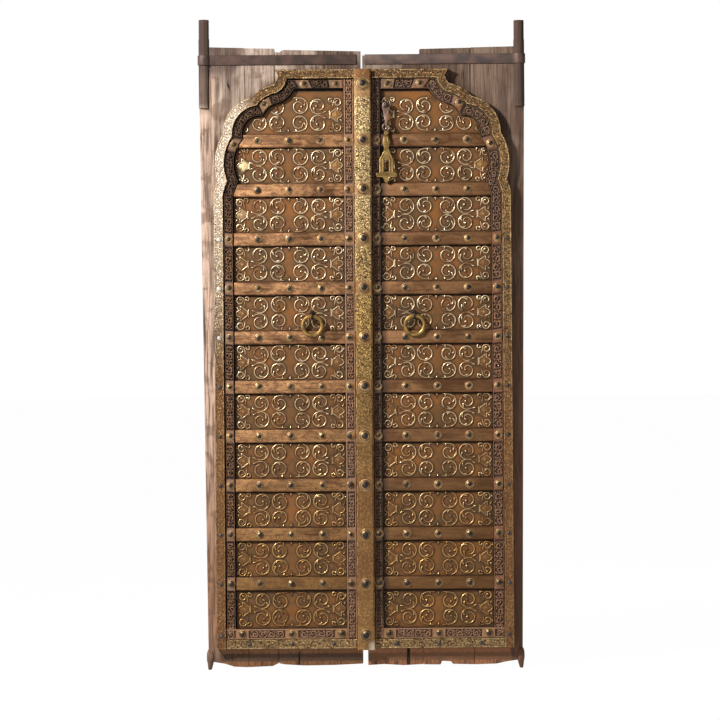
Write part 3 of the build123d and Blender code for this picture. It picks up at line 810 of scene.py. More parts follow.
@dataclass(frozen=True)
class WornBrass:
    """Cast or raised brass of the studs, bosses, rings and hasp."""

    name: str = "stud_brass"
    dull: Colour = tone(90, 62, 38)
    bright: Colour = tone(208, 168, 116)
    dark: Colour = tone(40, 28, 18)
    rubbed: Colour = tone(238, 208, 152)
    iron_above: float | None = None
    iron_dark: Colour = tone(70, 56, 48)
    iron_pale: Colour = tone(136, 112, 94)

    def material(self) -> Material:
        """Builds the finish."""
        shade = Shader(self.name)
        cloud = shade.noise(38, 5, None, 0.4)
        fine = shade.noise(260, 4)
        colour = shade.mix(shade.ramp(cloud, 0.32, 0.66), self.dull, self.bright)
        colour = shade.over(colour, self.dull, shade.ramp(shade.z, 0.8, 0.15), 0.6)
        turned = shade.attribute("turned")
        groove = shade.ramp(shade.apart(turned, DOME.groove), 0.1, 0.03)
        colour = shade.over(colour, self.dark, groove, 0.75)
        rim = shade.ramp(shade.apart(turned, DOME.rim), 0.1, 0.04)
        colour = shade.over(colour, self.rubbed, rim, 0.3)
        if self.iron_above:
            iron = shade.mix(shade.ramp(cloud, 0.35, 0.65), self.iron_dark, self.iron_pale)
            above = shade.ramp(shade.z, self.iron_above - 0.0015, self.iron_above + 0.0015)
            colour = shade.over(colour, iron, above)
        rough = shade.ramp(cloud, 1.15, -0.35)
        return shade.finish(colour, rough, 0.8, shade.bump(fine, 0.0006, 0.6))


@dataclass(frozen=True)
class ForgedIron:
    """Forged iron with brown rust; the border nails get a painted highlight, silvery on the upper left."""

    name: str = "forged_iron"
    dark: Colour = tone(56, 44, 39)
    rust: Colour = tone(88, 65, 55)
    rough: float = 0.6
    # Colour of a painted highlight on the upper left, if any.
    silver: Colour | None = None

    def material(self) -> Material:
        """Builds the finish."""
        shade = Shader(self.name)
        cloud = shade.noise(24, 6, None, 0.5)
        pits = shade.cells(230)
        colour = shade.mix(shade.ramp(cloud, 0.35, 0.65), self.dark, self.rust)
        # Painted highlight: on the upper left the nails are made silvery, where the light falls.
        if self.silver:
            lit = shade.times(shade.ramp(shade.x, -0.3, -0.4), shade.ramp(shade.z, 0.95, 1.1))
            colour = shade.over(colour, self.silver, lit)
        relief = shade.plus(cloud, shade.times(shade.ramp(pits, 0.0, 0.4), 0.3))
        return shade.finish(colour, self.rough, 0.35, shade.bump(relief, 0.0012, 0.7))


def made_from(finish: Finish) -> Material:
    """Field whose material is made from a finish when the set is."""
    return field(default_factory=finish.material)


@dataclass
class Finishes:
    """Every finish of the door, each made once."""

    planks: Material = made_from(WeatheredPlanks())
    ledges: Material = made_from(WeatheredPlanks("weathered_ledges", True))
    carved: Material = made_from(CarvedWood())
    panel: Material = made_from(EmbossedBrass())
    rail: Material = made_from(RailBrass())
    engraved: Material = made_from(EngravedBrass())
    stud: Material = made_from(WornBrass())
    ring: Material = made_from(WornBrass("ring_brass", tone(86, 66, 36), tone(176, 140, 78)))
    hasp: Material = made_from(WornBrass("hasp_brass", tone(86, 66, 36), tone(178, 145, 86), iron_above=1.7335))
    iron: Material = made_from(ForgedIron())
    nail: Material = made_from(ForgedIron("nail_iron", tone(16, 12, 10), tone(40, 30, 24), 0.5))
    # The border nails' last colour is the painted silvery highlight of the upper left.
    border_nail: Material = made_from(ForgedIron(
        "border_nail_iron", tone(30, 25, 22), tone(74, 65, 60), 0.42, tone(196, 192, 186)))
    link: Material = made_from(ForgedIron("link_iron", tone(84, 66, 56), tone(142, 112, 94), 0.45))


class GeometryTree:
    """A Geometry Nodes tree under construction, with named inputs."""

    def __init__(self, name: str) -> None:
        """Starts a tree with a geometry input and output.

        Args:
            name: Name of the tree.
        """
        self.tree = bpy.data.node_groups.new(name, "GeometryNodeTree")
        self.keys: dict[str, str] = {}
        self.tree.interface.new_socket("Geometry", in_out="INPUT", socket_type="NodeSocketGeometry")
        self.tree.interface.new_socket("Geometry", in_out="OUTPUT", socket_type="NodeSocketGeometry")
        self.start = self.tree.nodes.new("NodeGroupInput")
        self.end = self.tree.nodes.new("NodeGroupOutput")

    def given(self, name: str, kind: str) -> Socket:
        """Adds a named input and gives its socket inside the tree."""
        socket = self.tree.interface.new_socket(name, in_out="INPUT", socket_type=f"NodeSocket{kind}")
        self.keys[name] = socket.identifier
        return self.start.outputs[name]

    def node(self, kind: str, inputs: dict | None = None, **settings: object) -> bpy.types.Node:
        """Adds a node, named without its prefix where that is GeometryNode."""
        prefix = "" if kind.startswith(("Shader", "Function")) else "GeometryNode"
        return add_node(self.tree, prefix + kind, inputs, **settings)

    def out(self, kind: str, inputs: dict | None = None, **settings: object) -> Socket:
        """Adds a node and gives its first output."""
        return self.node(kind, inputs, **settings).outputs[0]

    def math(self, operation: str, first: Level, second: Level | None = None) -> Socket:
        """One step of arithmetic."""
        return self.out("ShaderNodeMath", {0: first, 1: second}, operation=operation)

    def close(self, geometry: Socket) -> None:
        """Links the last geometry to the output."""
        self.tree.links.new(geometry, self.end.inputs[0])

    def bake(self, carrier: bpy.types.Object, values: dict[str, object]) -> Mesh:
        """Runs the tree on an object and gives the result as a plain mesh.

        Args:
            carrier: Object whose geometry goes in; it is deleted afterwards.
            values: Value of each named input.

        Returns:
            The evaluated mesh.
        """
        modifier = carrier.modifiers.new(self.tree.name, "NODES")
        modifier.node_group = self.tree
        for name, value in values.items():
            modifier[self.keys[name]] = value
        evaluated = carrier.evaluated_get(bpy.context.evaluated_depsgraph_get())
        mesh = bpy.data.meshes.new_from_object(evaluated)
        carrier.modifiers.remove(modifier)
        bpy.data.objects.remove(carrier)
        return mesh


@cache
def ridge_tree() -> GeometryTree:
    """Tree that sweeps a rounded ridge along drawn strokes and sets it on a face.

    Returns:
        The tree, with its inputs Width, Flatness, Ground and Finish.
    """
    made = GeometryTree("raised_strokes")
    width, flatness, ground = (made.given(name, "Float") for name in ("Width", "Flatness", "Ground"))
    finish = made.given("Finish", "Material")
    profile = made.out("CurvePrimitiveCircle", {"Resolution": 7, "Radius": width})
    swept = made.node("CurveToMesh", {"Curve": made.start.outputs["Geometry"], "Profile Curve": profile,
                                      "Fill Caps": True})
    if "Scale" in swept.inputs:
        feed(made.tree, swept, {"Scale": made.out("InputRadius")})
    scale = made.out("ShaderNodeCombineXYZ", {0: 1.0, 1: flatness, 2: 1.0})
    shift = made.out("ShaderNodeCombineXYZ", {1: ground})
    placed = made.out("Transform", {"Geometry": swept.outputs[0], "Translation": shift, "Scale": scale})
    smooth = made.out("SetShadeSmooth", {"Geometry": placed})
    real = made.out("RealizeInstances", {"Geometry": smooth})
    made.close(made.out("SetMaterial", {"Geometry": real, "Material": finish}))
    return made


@cache
def dome_tree() -> GeometryTree:
    """Tree that sets a turned dome with a raised rim and a nail head on every point.

    Returns:
        The tree, with inputs Radius, Height, Seed, Washer finish and Nail finish.
    """
    made = GeometryTree("nail_domes")
    radius, height = made.given("Radius", "Float"), made.given("Height", "Float")
    seed = made.given("Seed", "Int")
    washer_finish, nail_finish = made.given("Washer finish", "Material"), made.given("Nail finish", "Material")
    rings = len(DOME.profile) - 1
    unit = made.out("MeshUVSphere", {"Segments": DOME.segments, "Rings": rings, "Radius": 1.0})
    spot = made.node("ShaderNodeSeparateXYZ", {0: made.out("InputPosition")}).outputs
    angle = made.math("ARCCOSINE", spot["Z"])
    share = made.out("ShaderNodeMapRange", {"Value": angle, "From Min": math.pi, "From Max": 0.0})
    levels = []
    for axis, size in ((0, radius), (1, height)):
        curve = made.node("ShaderNodeFloatCurve", {"Value": share})
        line = curve.mapping.curves[0].points
        while len(line) <= rings:
            line.new(0.5, 0.5)
        for order, stop in enumerate(DOME.profile):
            line[order].location = (order / rings, stop[axis] / 2)
            line[order].handle_type = "VECTOR"
        curve.mapping.update()
        levels.append(made.math("MULTIPLY", made.math("MULTIPLY", curve.outputs[0], 2.0), size))
    flat = made.out("ShaderNodeCombineXYZ", {0: spot["X"], 2: spot["Y"]})
    around = made.out("ShaderNodeVectorMath", {0: flat}, operation="NORMALIZE")
    spread = made.out("ShaderNodeVectorMath", {0: around, "Scale": levels[0]}, operation="SCALE")
    lift = made.out("ShaderNodeCombineXYZ", {1: made.math("MULTIPLY", levels[1], -1.0)})
    place = made.out("ShaderNodeVectorMath", {0: spread, 1: lift}, operation="ADD")
    marked = made.out("StoreNamedAttribute", {"Geometry": unit, "Name": "turned", "Value": share},
                      data_type="FLOAT", domain="POINT")
    turned = made.out("SetPosition", {"Geometry": marked, "Position": place})
    points = made.out("MeshToPoints", {"Mesh": made.start.outputs["Geometry"]})
    tilt, spin, swell = DOME.tilt, DOME.spin, DOME.swell
    turn = made.out("FunctionNodeRandomValue", {0: (-tilt, -spin, -tilt), 1: (tilt, spin, tilt), "Seed": seed},
                    data_type="FLOAT_VECTOR")
    size = made.node("FunctionNodeRandomValue", {2: 1 - swell, 3: 1 + swell, "Seed": seed}, data_type="FLOAT")
    set_out = made.out("InstanceOnPoints", {"Points": points, "Instance": turned, "Rotation": turn,
                                            "Scale": size.outputs[1]})
    smooth = made.out("SetShadeSmooth", {"Geometry": set_out})
    real = made.out("RealizeInstances", {"Geometry": smooth})
    brass = made.out("SetMaterial", {"Geometry": real, "Material": washer_finish})
    named = made.node("InputNamedAttribute", {"Name": "turned"}, data_type="FLOAT").outputs["Attribute"]
    head = made.math("GREATER_THAN", named, DOME.nail)
    made.close(made.out("SetMaterial", {"Geometry": brass, "Selection": head, "Material": nail_finish}))
    return made


@dataclass(frozen=True)
class Stroke:
    """One raised stroke in a face, as points across and up with the share of full width at each."""

    points: tuple[Point, ...]
    shares: tuple[float, ...]

    def moved(self, across: float, up: float, flip_x: float = 1.0, flip_z: float = 1.0) -> "Stroke":
        """The stroke mirrored as asked and then moved."""
        return Stroke(tuple((across + x * flip_x, up + z * flip_z) for x, z in self.points), self.shares)

    def pieces_inside(self, inside: "Fits") -> list["Stroke"]:
        """Parts of the stroke whose points pass a test.

        Args:
            inside: Test of a point's place across and up.

        Returns:
            The runs of two points or more that pass.
        """
        runs: list[Stroke] = []
        kept: list[tuple[Point, float]] = []
        for place, share in [*zip(self.points, self.shares), (None, 0.0)]:
            if place is not None and inside(*place):
                kept.append((place, share))
                continue
            if len(kept) > 1:
                runs.append(Stroke(tuple(p for p, _ in kept), tuple(s for _, s in kept)))
            kept = []
        return runs


@dataclass(frozen=True)
class Fits:
    """Test of whether a point of a stroke lies on its panel, a margin inside its edges."""

    side: Side
    foot: float
    head: float
    margin: float
    lead: float = 0.004

    def __call__(self, x: float, z: float) -> bool:
        """Whether the point lies inside the panel's edges."""
        reach = x * self.side.value
        return (self.foot + self.margin < z < self.head - self.margin
                and SIZES.field_inner + self.margin < reach < SIZES.field_reach(z + self.lead) - self.margin)


def spiral(centre: Point, start: float, turns: float, outer: float, inner: float, lead: Sequence[Point] = (),
           steps: int = 26, late: float = 2.0) -> Stroke:
    """A scroll that winds inwards and ends in a knob.

    Args:
        centre: Middle of the scroll.
        start: Angle of its first point, in turns.
        turns: How far it winds, negative for clockwise.
        outer: Radius at its start.
        inner: Radius at its end.
        lead: Points before its start.
        steps: Number of points on it.
        late: How late it draws in, 1 for evenly.

    Returns:
        The stroke.
    """
    points = list(lead)
    for step in range(steps + 1):
        along = step / steps
        angle = math.tau * (start + turns * along)
        radius = outer + (inner - outer) * along ** late
        points.append((centre[0] + radius * math.cos(angle), centre[1] + radius * math.sin(angle)))
    count = len(points)
    shares = [0.6 + 0.4 * math.sin(math.pi * min(1.0, 0.15 + order / count)) for order in range(count)]
    shares[0] = 0.45
    for back, share in ((1, 1.1), (2, 1.75), (3, 1.35)):
        shares[-back] = share
    return Stroke(tuple(points), tuple(shares))


def comma(start: Point, end: Point, bend: float, steps: int = 6) -> Stroke:
    """A short bent stroke that swells to its end.

    Args:
        start: Its thin end.
        end: Its thick end.
        bend: Sideways bow of its middle.
        steps: Number of points on it.

    Returns:
        The stroke.
    """
    along = Vector((end[0] - start[0], end[1] - start[1]))
    across = Vector((-along.y, along.x)).normalized() * bend
    points, shares = [], []
    for step in range(steps + 1):
        share = step / steps
        place = Vector(start) + along * share + across * math.sin(math.pi * share)
        points.append((place.x, place.y))
        shares.append(0.5 + 0.85 * share if step < steps else 0.8)
    return Stroke(tuple(points), tuple(shares))


def linked(name: str, data: bpy.types.ID) -> bpy.types.Object:
    """New object of some data, linked to the scene."""
    made = bpy.data.objects.new(name, data)
    bpy.context.scene.collection.objects.link(made)
    return made


def add_piece(name: str, mesh: Mesh, body: str, replaces: Iterable[str] = ()) -> bpy.types.Object:
    """Puts a finished mesh in the scene, on its body.

    Args:
        name: Name of the piece.
        mesh: Its mesh, in place.
        body: Body that it rides on.
        replaces: Nodes that it stands for.

    Returns:
        The new object.
    """
    piece = linked(name, mesh)
    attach(piece, body)
    if replaces:
        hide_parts(*replaces)
    log.info("%s: %d faces", name, len(mesh.polygons))
    return piece


def stroke_carrier(strokes: Iterable[Stroke]) -> bpy.types.Object:
    """Curve object that carries strokes into the ridge tree.

    Args:
        strokes: The strokes, in place across and up.

    Returns:
        The object, linked to the scene.
    """
    curve = bpy.data.curves.new("strokes", "CURVE")
    curve.dimensions = "3D"
    for stroke in strokes:
        line = curve.splines.new("POLY")
        line.points.add(len(stroke.points) - 1)
        for point, (x, z), share in zip(line.points, stroke.points, stroke.shares):
            point.co = (x, 0.0, z, 1.0)
            point.radius = share
    return linked("strokes", curve)


def raised_mesh(strokes: Iterable[Stroke], width: float, flatness: float, ground: float, finish: Material) -> Mesh:
    """Mesh of rounded ridges along strokes.

    Args:
        strokes: The strokes, in place across and up.
        width: Half width of a full stroke.
        flatness: Height of a ridge as a share of its half width.
        ground: Y of the face that they stand on.
        finish: Their material.

    Returns:
        The baked mesh.
    """
    return ridge_tree().bake(stroke_carrier(strokes), {
        "Width": width, "Flatness": flatness, "Ground": ground, "Finish": finish})


def domed_mesh(places: Iterable[Place], radius: float, height: float, seed: int, washer: Material,
               nail: Material) -> Mesh:
    """Mesh of turned domes, one on each place.

    Args:
        places: Middle of each dome's foot.
        radius: Radius of a dome.
        height: Height of its turned part.
        seed: Seed of the hand's small differences.
        washer: Material of a dome.
        nail: Material of the nail head on it.

    Returns:
        The baked mesh.
    """
    mesh = bpy.data.meshes.new("places")
    mesh.from_pydata(list(places), [], [])
    return dome_tree().bake(linked("places", mesh), {
        "Radius": radius, "Height": height, "Seed": seed, "Washer finish": washer, "Nail finish": nail})


def round_line(across: float, up: float, radius: float, steps: int = 20) -> list[Point]:
    """Points round a full circle, the first one again at the end."""
    turns = [math.tau * step / steps for step in range(steps + 1)]
    return [(across + radius * math.cos(turn), up + radius * math.sin(turn)) for turn in turns]


def eased_copy(node: str, width: float, segments: int = 2, finish: Material | None = None,
               shape: Callable[[Vector], Vector] | None = None) -> Mesh:
    """Copy of a node's solid with its sharp edges eased.

    Args:
        node: Node to copy.
        width: Width of the eased edge.
        segments: Facets across it.
        finish: Material of the copy.
        shape: Wear that moves its corners, if any.

    Returns:
        The eased mesh.
    """
    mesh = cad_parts[node].data.copy()
    work = bmesh.new()
    work.from_mesh(mesh)
    bmesh.ops.remove_doubles(work, verts=work.verts, dist=1e-5)
    bmesh.ops.dissolve_limit(work, angle_limit=math.radians(1.5), verts=work.verts, edges=work.edges)
    for vertex in work.verts if shape else ():
        vertex.co = shape(vertex.co)
    work.to_mesh(mesh)
    work.free()
    carrier = linked("eased", mesh)
    bevel = carrier.modifiers.new("ease", "BEVEL")
    bevel.width = width
    bevel.segments = segments
    bevel.limit_method = "ANGLE"
    bevel.angle_limit = math.radians(28)
    bevel.harden_normals = False
    result = bpy.data.meshes.new_from_object(carrier.evaluated_get(bpy.context.evaluated_depsgraph_get()))
    bpy.data.objects.remove(carrier)
    result.materials.clear()
    result.materials.append(finish)
    for face in result.polygons:
        face.material_index = 0
    result.shade_smooth()
    result.set_sharp_from_angle(angle=math.radians(32))
    return result


def outward(work: bmesh.types.BMesh) -> None:
    """Turns a front shell's faces to the carved side."""
    bmesh.ops.recalc_face_normals(work, faces=work.faces)
    if sum(face.normal.y * face.calc_area() for face in work.faces if abs(face.normal.y) > 0.5) > 0:
        bmesh.ops.reverse_faces(work, faces=work.faces)


def plain_mesh(work: bmesh.types.BMesh, name: str, finish: Material) -> Mesh:
    """Mesh of one finish from a working mesh, which is freed."""
    mesh = bpy.data.meshes.new(name)
    work.to_mesh(mesh)
    work.free()
    mesh.materials.append(finish)
    return mesh


def islands(node: str) -> list[Rung]:
    """Lowest and highest corner of each separate solid in a node.

    Args:
        node: Node of several like solids.

    Returns:
        One pair of corners for each solid.
    """
    work = bmesh.new()
    work.from_mesh(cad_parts[node].data)
    bmesh.ops.remove_doubles(work, verts=work.verts, dist=1e-5)
    seen: set[bmesh.types.BMVert] = set()
    boxes = []
    for first in work.verts:
        if first in seen:
            continue
        group, queue = [], [first]
        seen.add(first)
        while queue:
            vertex = queue.pop()
            group.append(vertex.co.copy())
            for edge in vertex.link_edges:
                other = edge.other_vert(vertex)
                if other not in seen:
                    seen.add(other)
                    queue.append(other)
        boxes.append((Vector(map(min, zip(*group))), Vector(map(max, zip(*group)))))
    work.free()
    return boxes


def head_feet(node: str) -> list[Place]:
    """Middle of the foot of each plain head in a node."""
    return [((low.x + high.x) / 2, high.y, (low.z + high.z) / 2) for low, high in islands(node)]


@dataclass
class EmbossedPanels:
    """The eleven embossed panels of a leaf: sheet ground with scrolls, buds, dashes and corner curls."""

    side: Side
    finishes: Finishes
    ridge_width: float = 0.0025
    flatness: float = 1.55
    columns: tuple[float, float] = (0.0355, 0.0965)
    row: float = 0.027
    curl: float = 0.0262
    grid_columns: int = 76
    grid_rows: int = 26
    arch_rows: int = 40
    cell: float = 0.012
    sunk_rim: float = 0.0038
    sunk_depth: float = 0.0015
    # Reach of the grime and painted shade beside the strokes and along the edges.
    grime_and_shade_reach: float = 0.0105
    edge_grime_and_shade: float = 0.006
    bud_middle: float = 0.152
    bud_rise: float = 0.0024
    bud_sink: float = 0.0005
    seed: int = 11

    def quarter(self, rng: random.Random) -> list[Stroke]:
        """Strokes of one quarter of a panel, to the right of and above its middle.

        Args:
            rng: Source of the hand's small differences.

        Returns:
            The strokes about the panel's middle.
        """
        row = self.row
        strokes: list[Stroke] = []
        for reach, start, lead in ((self.columns[0], 0.24, ((0.0095, row + 0.0255), (0.020, row + 0.0268))),
                                   (self.columns[1], 0.78, ((0.1175, 0.0055),))):
            curl = self.curl * rng.uniform(0.94, 1.04)
            begin = start + rng.uniform(-0.03, 0.03)
            wind = -1.4 + rng.uniform(-0.08, 0.08)
            strokes.append(spiral((reach, row), begin, wind, curl, 0.0032, lead, 28, 2.0))
            for part in (0.12, 0.4):
                ends = []
                for bit, share in ((0.0, 0.95), (0.13, 0.56)):
                    turn = math.tau * (begin - part - bit + rng.uniform(-0.025, 0.025))
                    ends.append((reach + curl * share * math.cos(turn), row + curl * share * math.sin(turn)))
                strokes.append(comma(*ends, 0.003))
        strokes += [
            comma((0.0262, row + 0.0165), (0.0275, row + 0.0262), 0.0012),
            comma((0.1105, 0.0052), (0.1225, 0.0098), 0.0012),
            spiral((0.1585, 0.0405), 0.42, -1.25, 0.0125, 0.0026, ((0.143, 0.022), (0.1445, 0.032)), 16),
            spiral((0.1375, 0.0465), 0.05, 1.0, 0.0078, 0.0026, (), 11),
            comma((0.1715, 0.024), (0.1665, 0.0155), 0.002),
            comma((0.1735, 0.050), (0.1735, 0.0385), 0.002),
        ]
        return strokes

    def bud_outline(self) -> list[Point]:
        """Outline of the lotus bud at a panel's right end, about the panel's middle."""
        half = [(0.1365, 0.0075), (0.1445, 0.0125), (0.1535, 0.0195), (0.1600, 0.0240), (0.1592, 0.0165),
                (0.1595, 0.0105), (0.1650, 0.0100), (0.1705, 0.0055)]
        return [*half, (0.1742, 0.0), *[(x, -z) for x, z in reversed(half)]]

    def bud(self) -> list[Stroke]:
        """Strokes of the lotus bud at a panel's right end."""
        outline = [*self.bud_outline(), self.bud_outline()[0]]
        base = ((0.1328, 0.0125), (0.1340, 0.004), (0.1340, -0.004), (0.1328, -0.0125))
        return [Stroke(tuple(outline), (0.85,) * len(outline)), Stroke(base, (0.9, 1.1, 1.1, 0.9))]

    def centre(self, foot: float, head: float) -> Point:
        """Middle of a panel's pattern, which sits low in the tall top panel."""
        low = head > SIZES.field_head - 0.01
        return self.side.value * SIZES.field_middle, foot + 0.063 if low else (foot + head) / 2

    def bud_shift(self, flip: float, height: float) -> float:
        """How far a bud is moved along its panel to stay inside the arch.

        Args:
            flip: Sign of X towards which the bud points.
            height: Height of the bud's middle.

        Returns:
            The move towards the bud's tip, negative where the arch is in the way.
        """
        if flip * self.side.value < 0:
            return 0.0
        reach = min(SIZES.field_reach(height + step * 0.012) for step in (-2, -1, 0, 1, 2))
        return max(-0.02, min(0.0, reach - 0.003 - SIZES.field_middle - self.bud_outline()[8][0]))

    def panel_strokes(self, foot: float, head: float, rng: random.Random) -> list[Stroke]:
        """All strokes of one panel, in place and trimmed to the arch.

        Args:
            foot: Foot of the panel.
            head: Head of the panel.
            rng: Source of the hand's small differences.

        Returns:
            The strokes, in the door's frame.
        """
        middle, height = self.centre(foot, head)
        drawn: list[Stroke] = []
        for flip_x in (-1.0, 1.0):
            for flip_z in (-1.0, 1.0):
                for stroke in self.quarter(rng):
                    jitter = (rng.uniform(-0.0012, 0.0012), rng.uniform(-0.0012, 0.0012))
                    drawn.append(stroke.moved(middle + jitter[0], height + jitter[1], flip_x, flip_z))
            inward = self.bud_shift(flip_x, height)
            drawn += [stroke.moved(middle + flip_x * inward, height, flip_x, 1.0) for stroke in self.bud()]
        for flip_z in (-1.0, 1.0):
            drawn.append(comma((0.0, 0.045), (0.0, 0.0535), 0.0006).moved(middle, height, 1.0, flip_z))
        fits = Fits(self.side, foot, head, 0.0035)
        return [part for stroke in drawn for part in stroke.pieces_inside(fits)]

    def cell_of(self, place: Vector) -> tuple[int, int]:
        """Cell of a coarse grid that a place lies in."""
        return int(place.x // self.cell), int(place.y // self.cell)

    def ground(self, foot: float, head: float, strokes: list[Stroke]) -> Mesh:
        """The panel's sheet, with grime and painted shade beside its strokes and along its edges, and a dark sunk gap
        under the rail above.

        Args:
            foot: Foot of the panel.
            head: Head of the panel.
            strokes: Strokes on it, in place.

        Returns:
            The sheet's mesh, closed back to the planks.
        """
        columns, rows = self.grid_columns, self.grid_rows if head < SIZES.spring else self.arch_rows
        front, sunk, back = SIZES.y_at(SIZES.panel_depth), SIZES.y_at(self.sunk_depth), SIZES.y_at(0.0)
        work = bmesh.new()
        grime_and_shade = work.verts.layers.float.new("grime_and_shade")
        work.verts.layers.float.new("gilt")
        cells: dict[tuple[int, int], list[Vector]] = {}
        for dot in (Vector(point) for stroke in strokes for point in stroke.points):
            cells.setdefault(self.cell_of(dot), []).append(dot)
        rim_top = head - self.sunk_rim
        levels = [(foot + (rim_top - foot) * row / rows, front) for row in range(rows + 1)]
        levels += [(rim_top + 0.0002, sunk), (head, sunk)]
        grid = []
        for z, y in levels:
            outer = min(SIZES.field_outer, SIZES.field_reach(z)) - SIZES.clearance
            line = []
            for column in range(columns + 1):
                reach = SIZES.field_inner + 0.0002 + (outer - SIZES.field_inner) * column / columns
                place = Vector((self.side.value * reach, z))
                right, up = self.cell_of(place)
                near = [dot for dx in (-1, 0, 1) for dz in (-1, 0, 1) for dot in cells.get((right + dx, up + dz), [])]
                gap = min(((dot - place).length for dot in near), default=self.cell)
                edge = min(z - foot, rim_top - z, outer - reach, reach - SIZES.field_inner)
                vertex = work.verts.new((place.x, y, z))
                # Grime and painted shade: darker nearer a stroke or an edge.
                vertex[grime_and_shade] = max(0.0, 1.0 - gap / self.grime_and_shade_reach, 1.0 - edge / self.edge_grime_and_shade)
                line.append(vertex)
            grid.append(line)
        for low, high in zip(grid, grid[1:]):
            for column in range(columns):
                work.faces.new((low[column], low[column + 1], high[column + 1], high[column]))
        rim = [*grid[0], *(line[-1] for line in grid[1:]), *reversed(grid[-1][:-1]),
               *(line[0] for line in reversed(grid[1:-1]))]
        behind = [work.verts.new((vertex.co.x, back, vertex.co.z)) for vertex in rim]
        for order, vertex in enumerate(rim):
            after = (order + 1) % len(rim)
            work.faces.new((vertex, behind[order], behind[after], rim[after]))
        outward(work)
        return plain_mesh(work, "panel_ground", self.finishes.panel)

    def bud_plates(self, foot: float, head: float) -> Mesh:
        """Low gilt fillings of the two buds of a panel, where they lie inside the arch.

        Args:
            foot: Foot of the panel.
            head: Head of the panel.

        Returns:
            The fillings' mesh.
        """
        middle, height = self.centre(foot, head)
        fits = Fits(self.side, foot, head, 0.002)
        work = bmesh.new()
        work.verts.layers.float.new("grime_and_shade")
        gilt = work.verts.layers.float.new("gilt")
        for flip in (-1.0, 1.0):
            inward = self.bud_shift(flip, height)
            line = [(middle + flip * (x + inward), height + z) for x, z in self.bud_outline()]
            if not all(fits(x, z) for x, z in line):
                continue
            low, high = (SIZES.y_at(SIZES.panel_depth + rise) for rise in (-self.bud_sink, self.bud_rise))
            rim = [work.verts.new((x, low, z)) for x, z in line]
            crown = work.verts.new((middle + flip * (self.bud_middle + inward), high, height))
            for vertex in (*rim, crown):
                vertex[gilt] = 1.0
            for order, vertex in enumerate(rim):
                work.faces.new((vertex, rim[(order + 1) % len(rim)], crown))
        outward(work)
        return plain_mesh(work, "bud_plates", self.finishes.panel)

    def build(self) -> None:
        """Makes every panel of the leaf and puts it in place of its board."""
        rng = random.Random(self.seed)
        leaf, finish, face = self.side.leaf, self.finishes.panel, SIZES.y_at(SIZES.panel_depth)
        for row, (foot, head) in enumerate(SIZES.panel_spans(), 1):
            strokes = self.panel_strokes(foot, head, rng)
            relief = raised_mesh(strokes, self.ridge_width, self.flatness, face, finish)
            whole = joined([self.ground(foot, head, strokes), self.bud_plates(foot, head), relief], finish)
            add_piece(f"{leaf}_embossed_panel_{row:02d}", whole, self.side.body,
                      [f"{leaf}_panel_{row:02d}"])


def joined(meshes: Sequence[Mesh], finish: Material) -> Mesh:
    """One mesh of several, all of one finish.

    Args:
        meshes: Meshes to join, which are used up.
        finish: Material of the whole.

    Returns:
        The joined mesh.
    """
    work = bmesh.new()
    for mesh in meshes:
        work.from_mesh(mesh)
    whole = bpy.data.meshes.new("joined")
    work.to_mesh(whole)
    work.free()
    whole.materials.append(finish)
    for face in whole.polygons:
        face.material_index = 0
    for mesh in meshes:
        bpy.data.meshes.remove(mesh)
    return whole


@dataclass
class StudRows:
    """Domed studs of a leaf, with the small iron nails of its brass border."""

    side: Side
    finishes: Finishes
    radius: float = 0.0136
    height: float = 0.0066
    nail_radius: float = 0.0068
    nail_height: float = 0.0026
    low_nail: float = 0.112
    sill_nail: float = 0.0845
    sill_pitch: float = 0.135
    seed: int = 5

    def nail_places(self) -> list[Place]:
        """Places of the iron nails of the border and the sill."""
        side = self.side.value
        reach = SIZES.opening_reach + SIZES.border_width / 2
        heights = [*(z for z in SIZES.rail_middles if z < SIZES.spring), self.low_nail]
        places = [(side * reach, SIZES.y_at(SIZES.border_depth), z) for z in heights]
        sill = SIZES.y_at(SIZES.sill_depth)
        return places + [(side * (SIZES.field_middle + step * self.sill_pitch), sill, self.sill_nail)
                         for step in (-1, 0, 1)]

    def build(self) -> None:
        """Sets the studs in place of the plain heads, and the nails on the border."""
        node = f"{self.side.leaf}_studs"
        looks = self.finishes
        mesh = domed_mesh(head_feet(node), self.radius, self.height, self.seed, looks.stud, looks.nail)
        add_piece(f"{self.side.leaf}_domed_studs", mesh, self.side.body, [node])
        iron = looks.border_nail
        nails = domed_mesh(self.nail_places(), self.nail_radius, self.nail_height, self.seed + 1, iron, iron)
        add_piece(f"{self.side.leaf}_border_nails", nails, self.side.body)


def spaced(start: float, end: float, steps: int) -> list[float]:
    """Evenly spaced values from one to another."""
    return [start + (end - start) * step / steps for step in range(steps + 1)]


def both_sides(half: Sequence[Point]) -> list[Point]:
    """A profile from its near half, as shares across and depths, with the far half its mirror."""
    return [*half, *((1.0 - share, depth) for share, depth in reversed(half))]


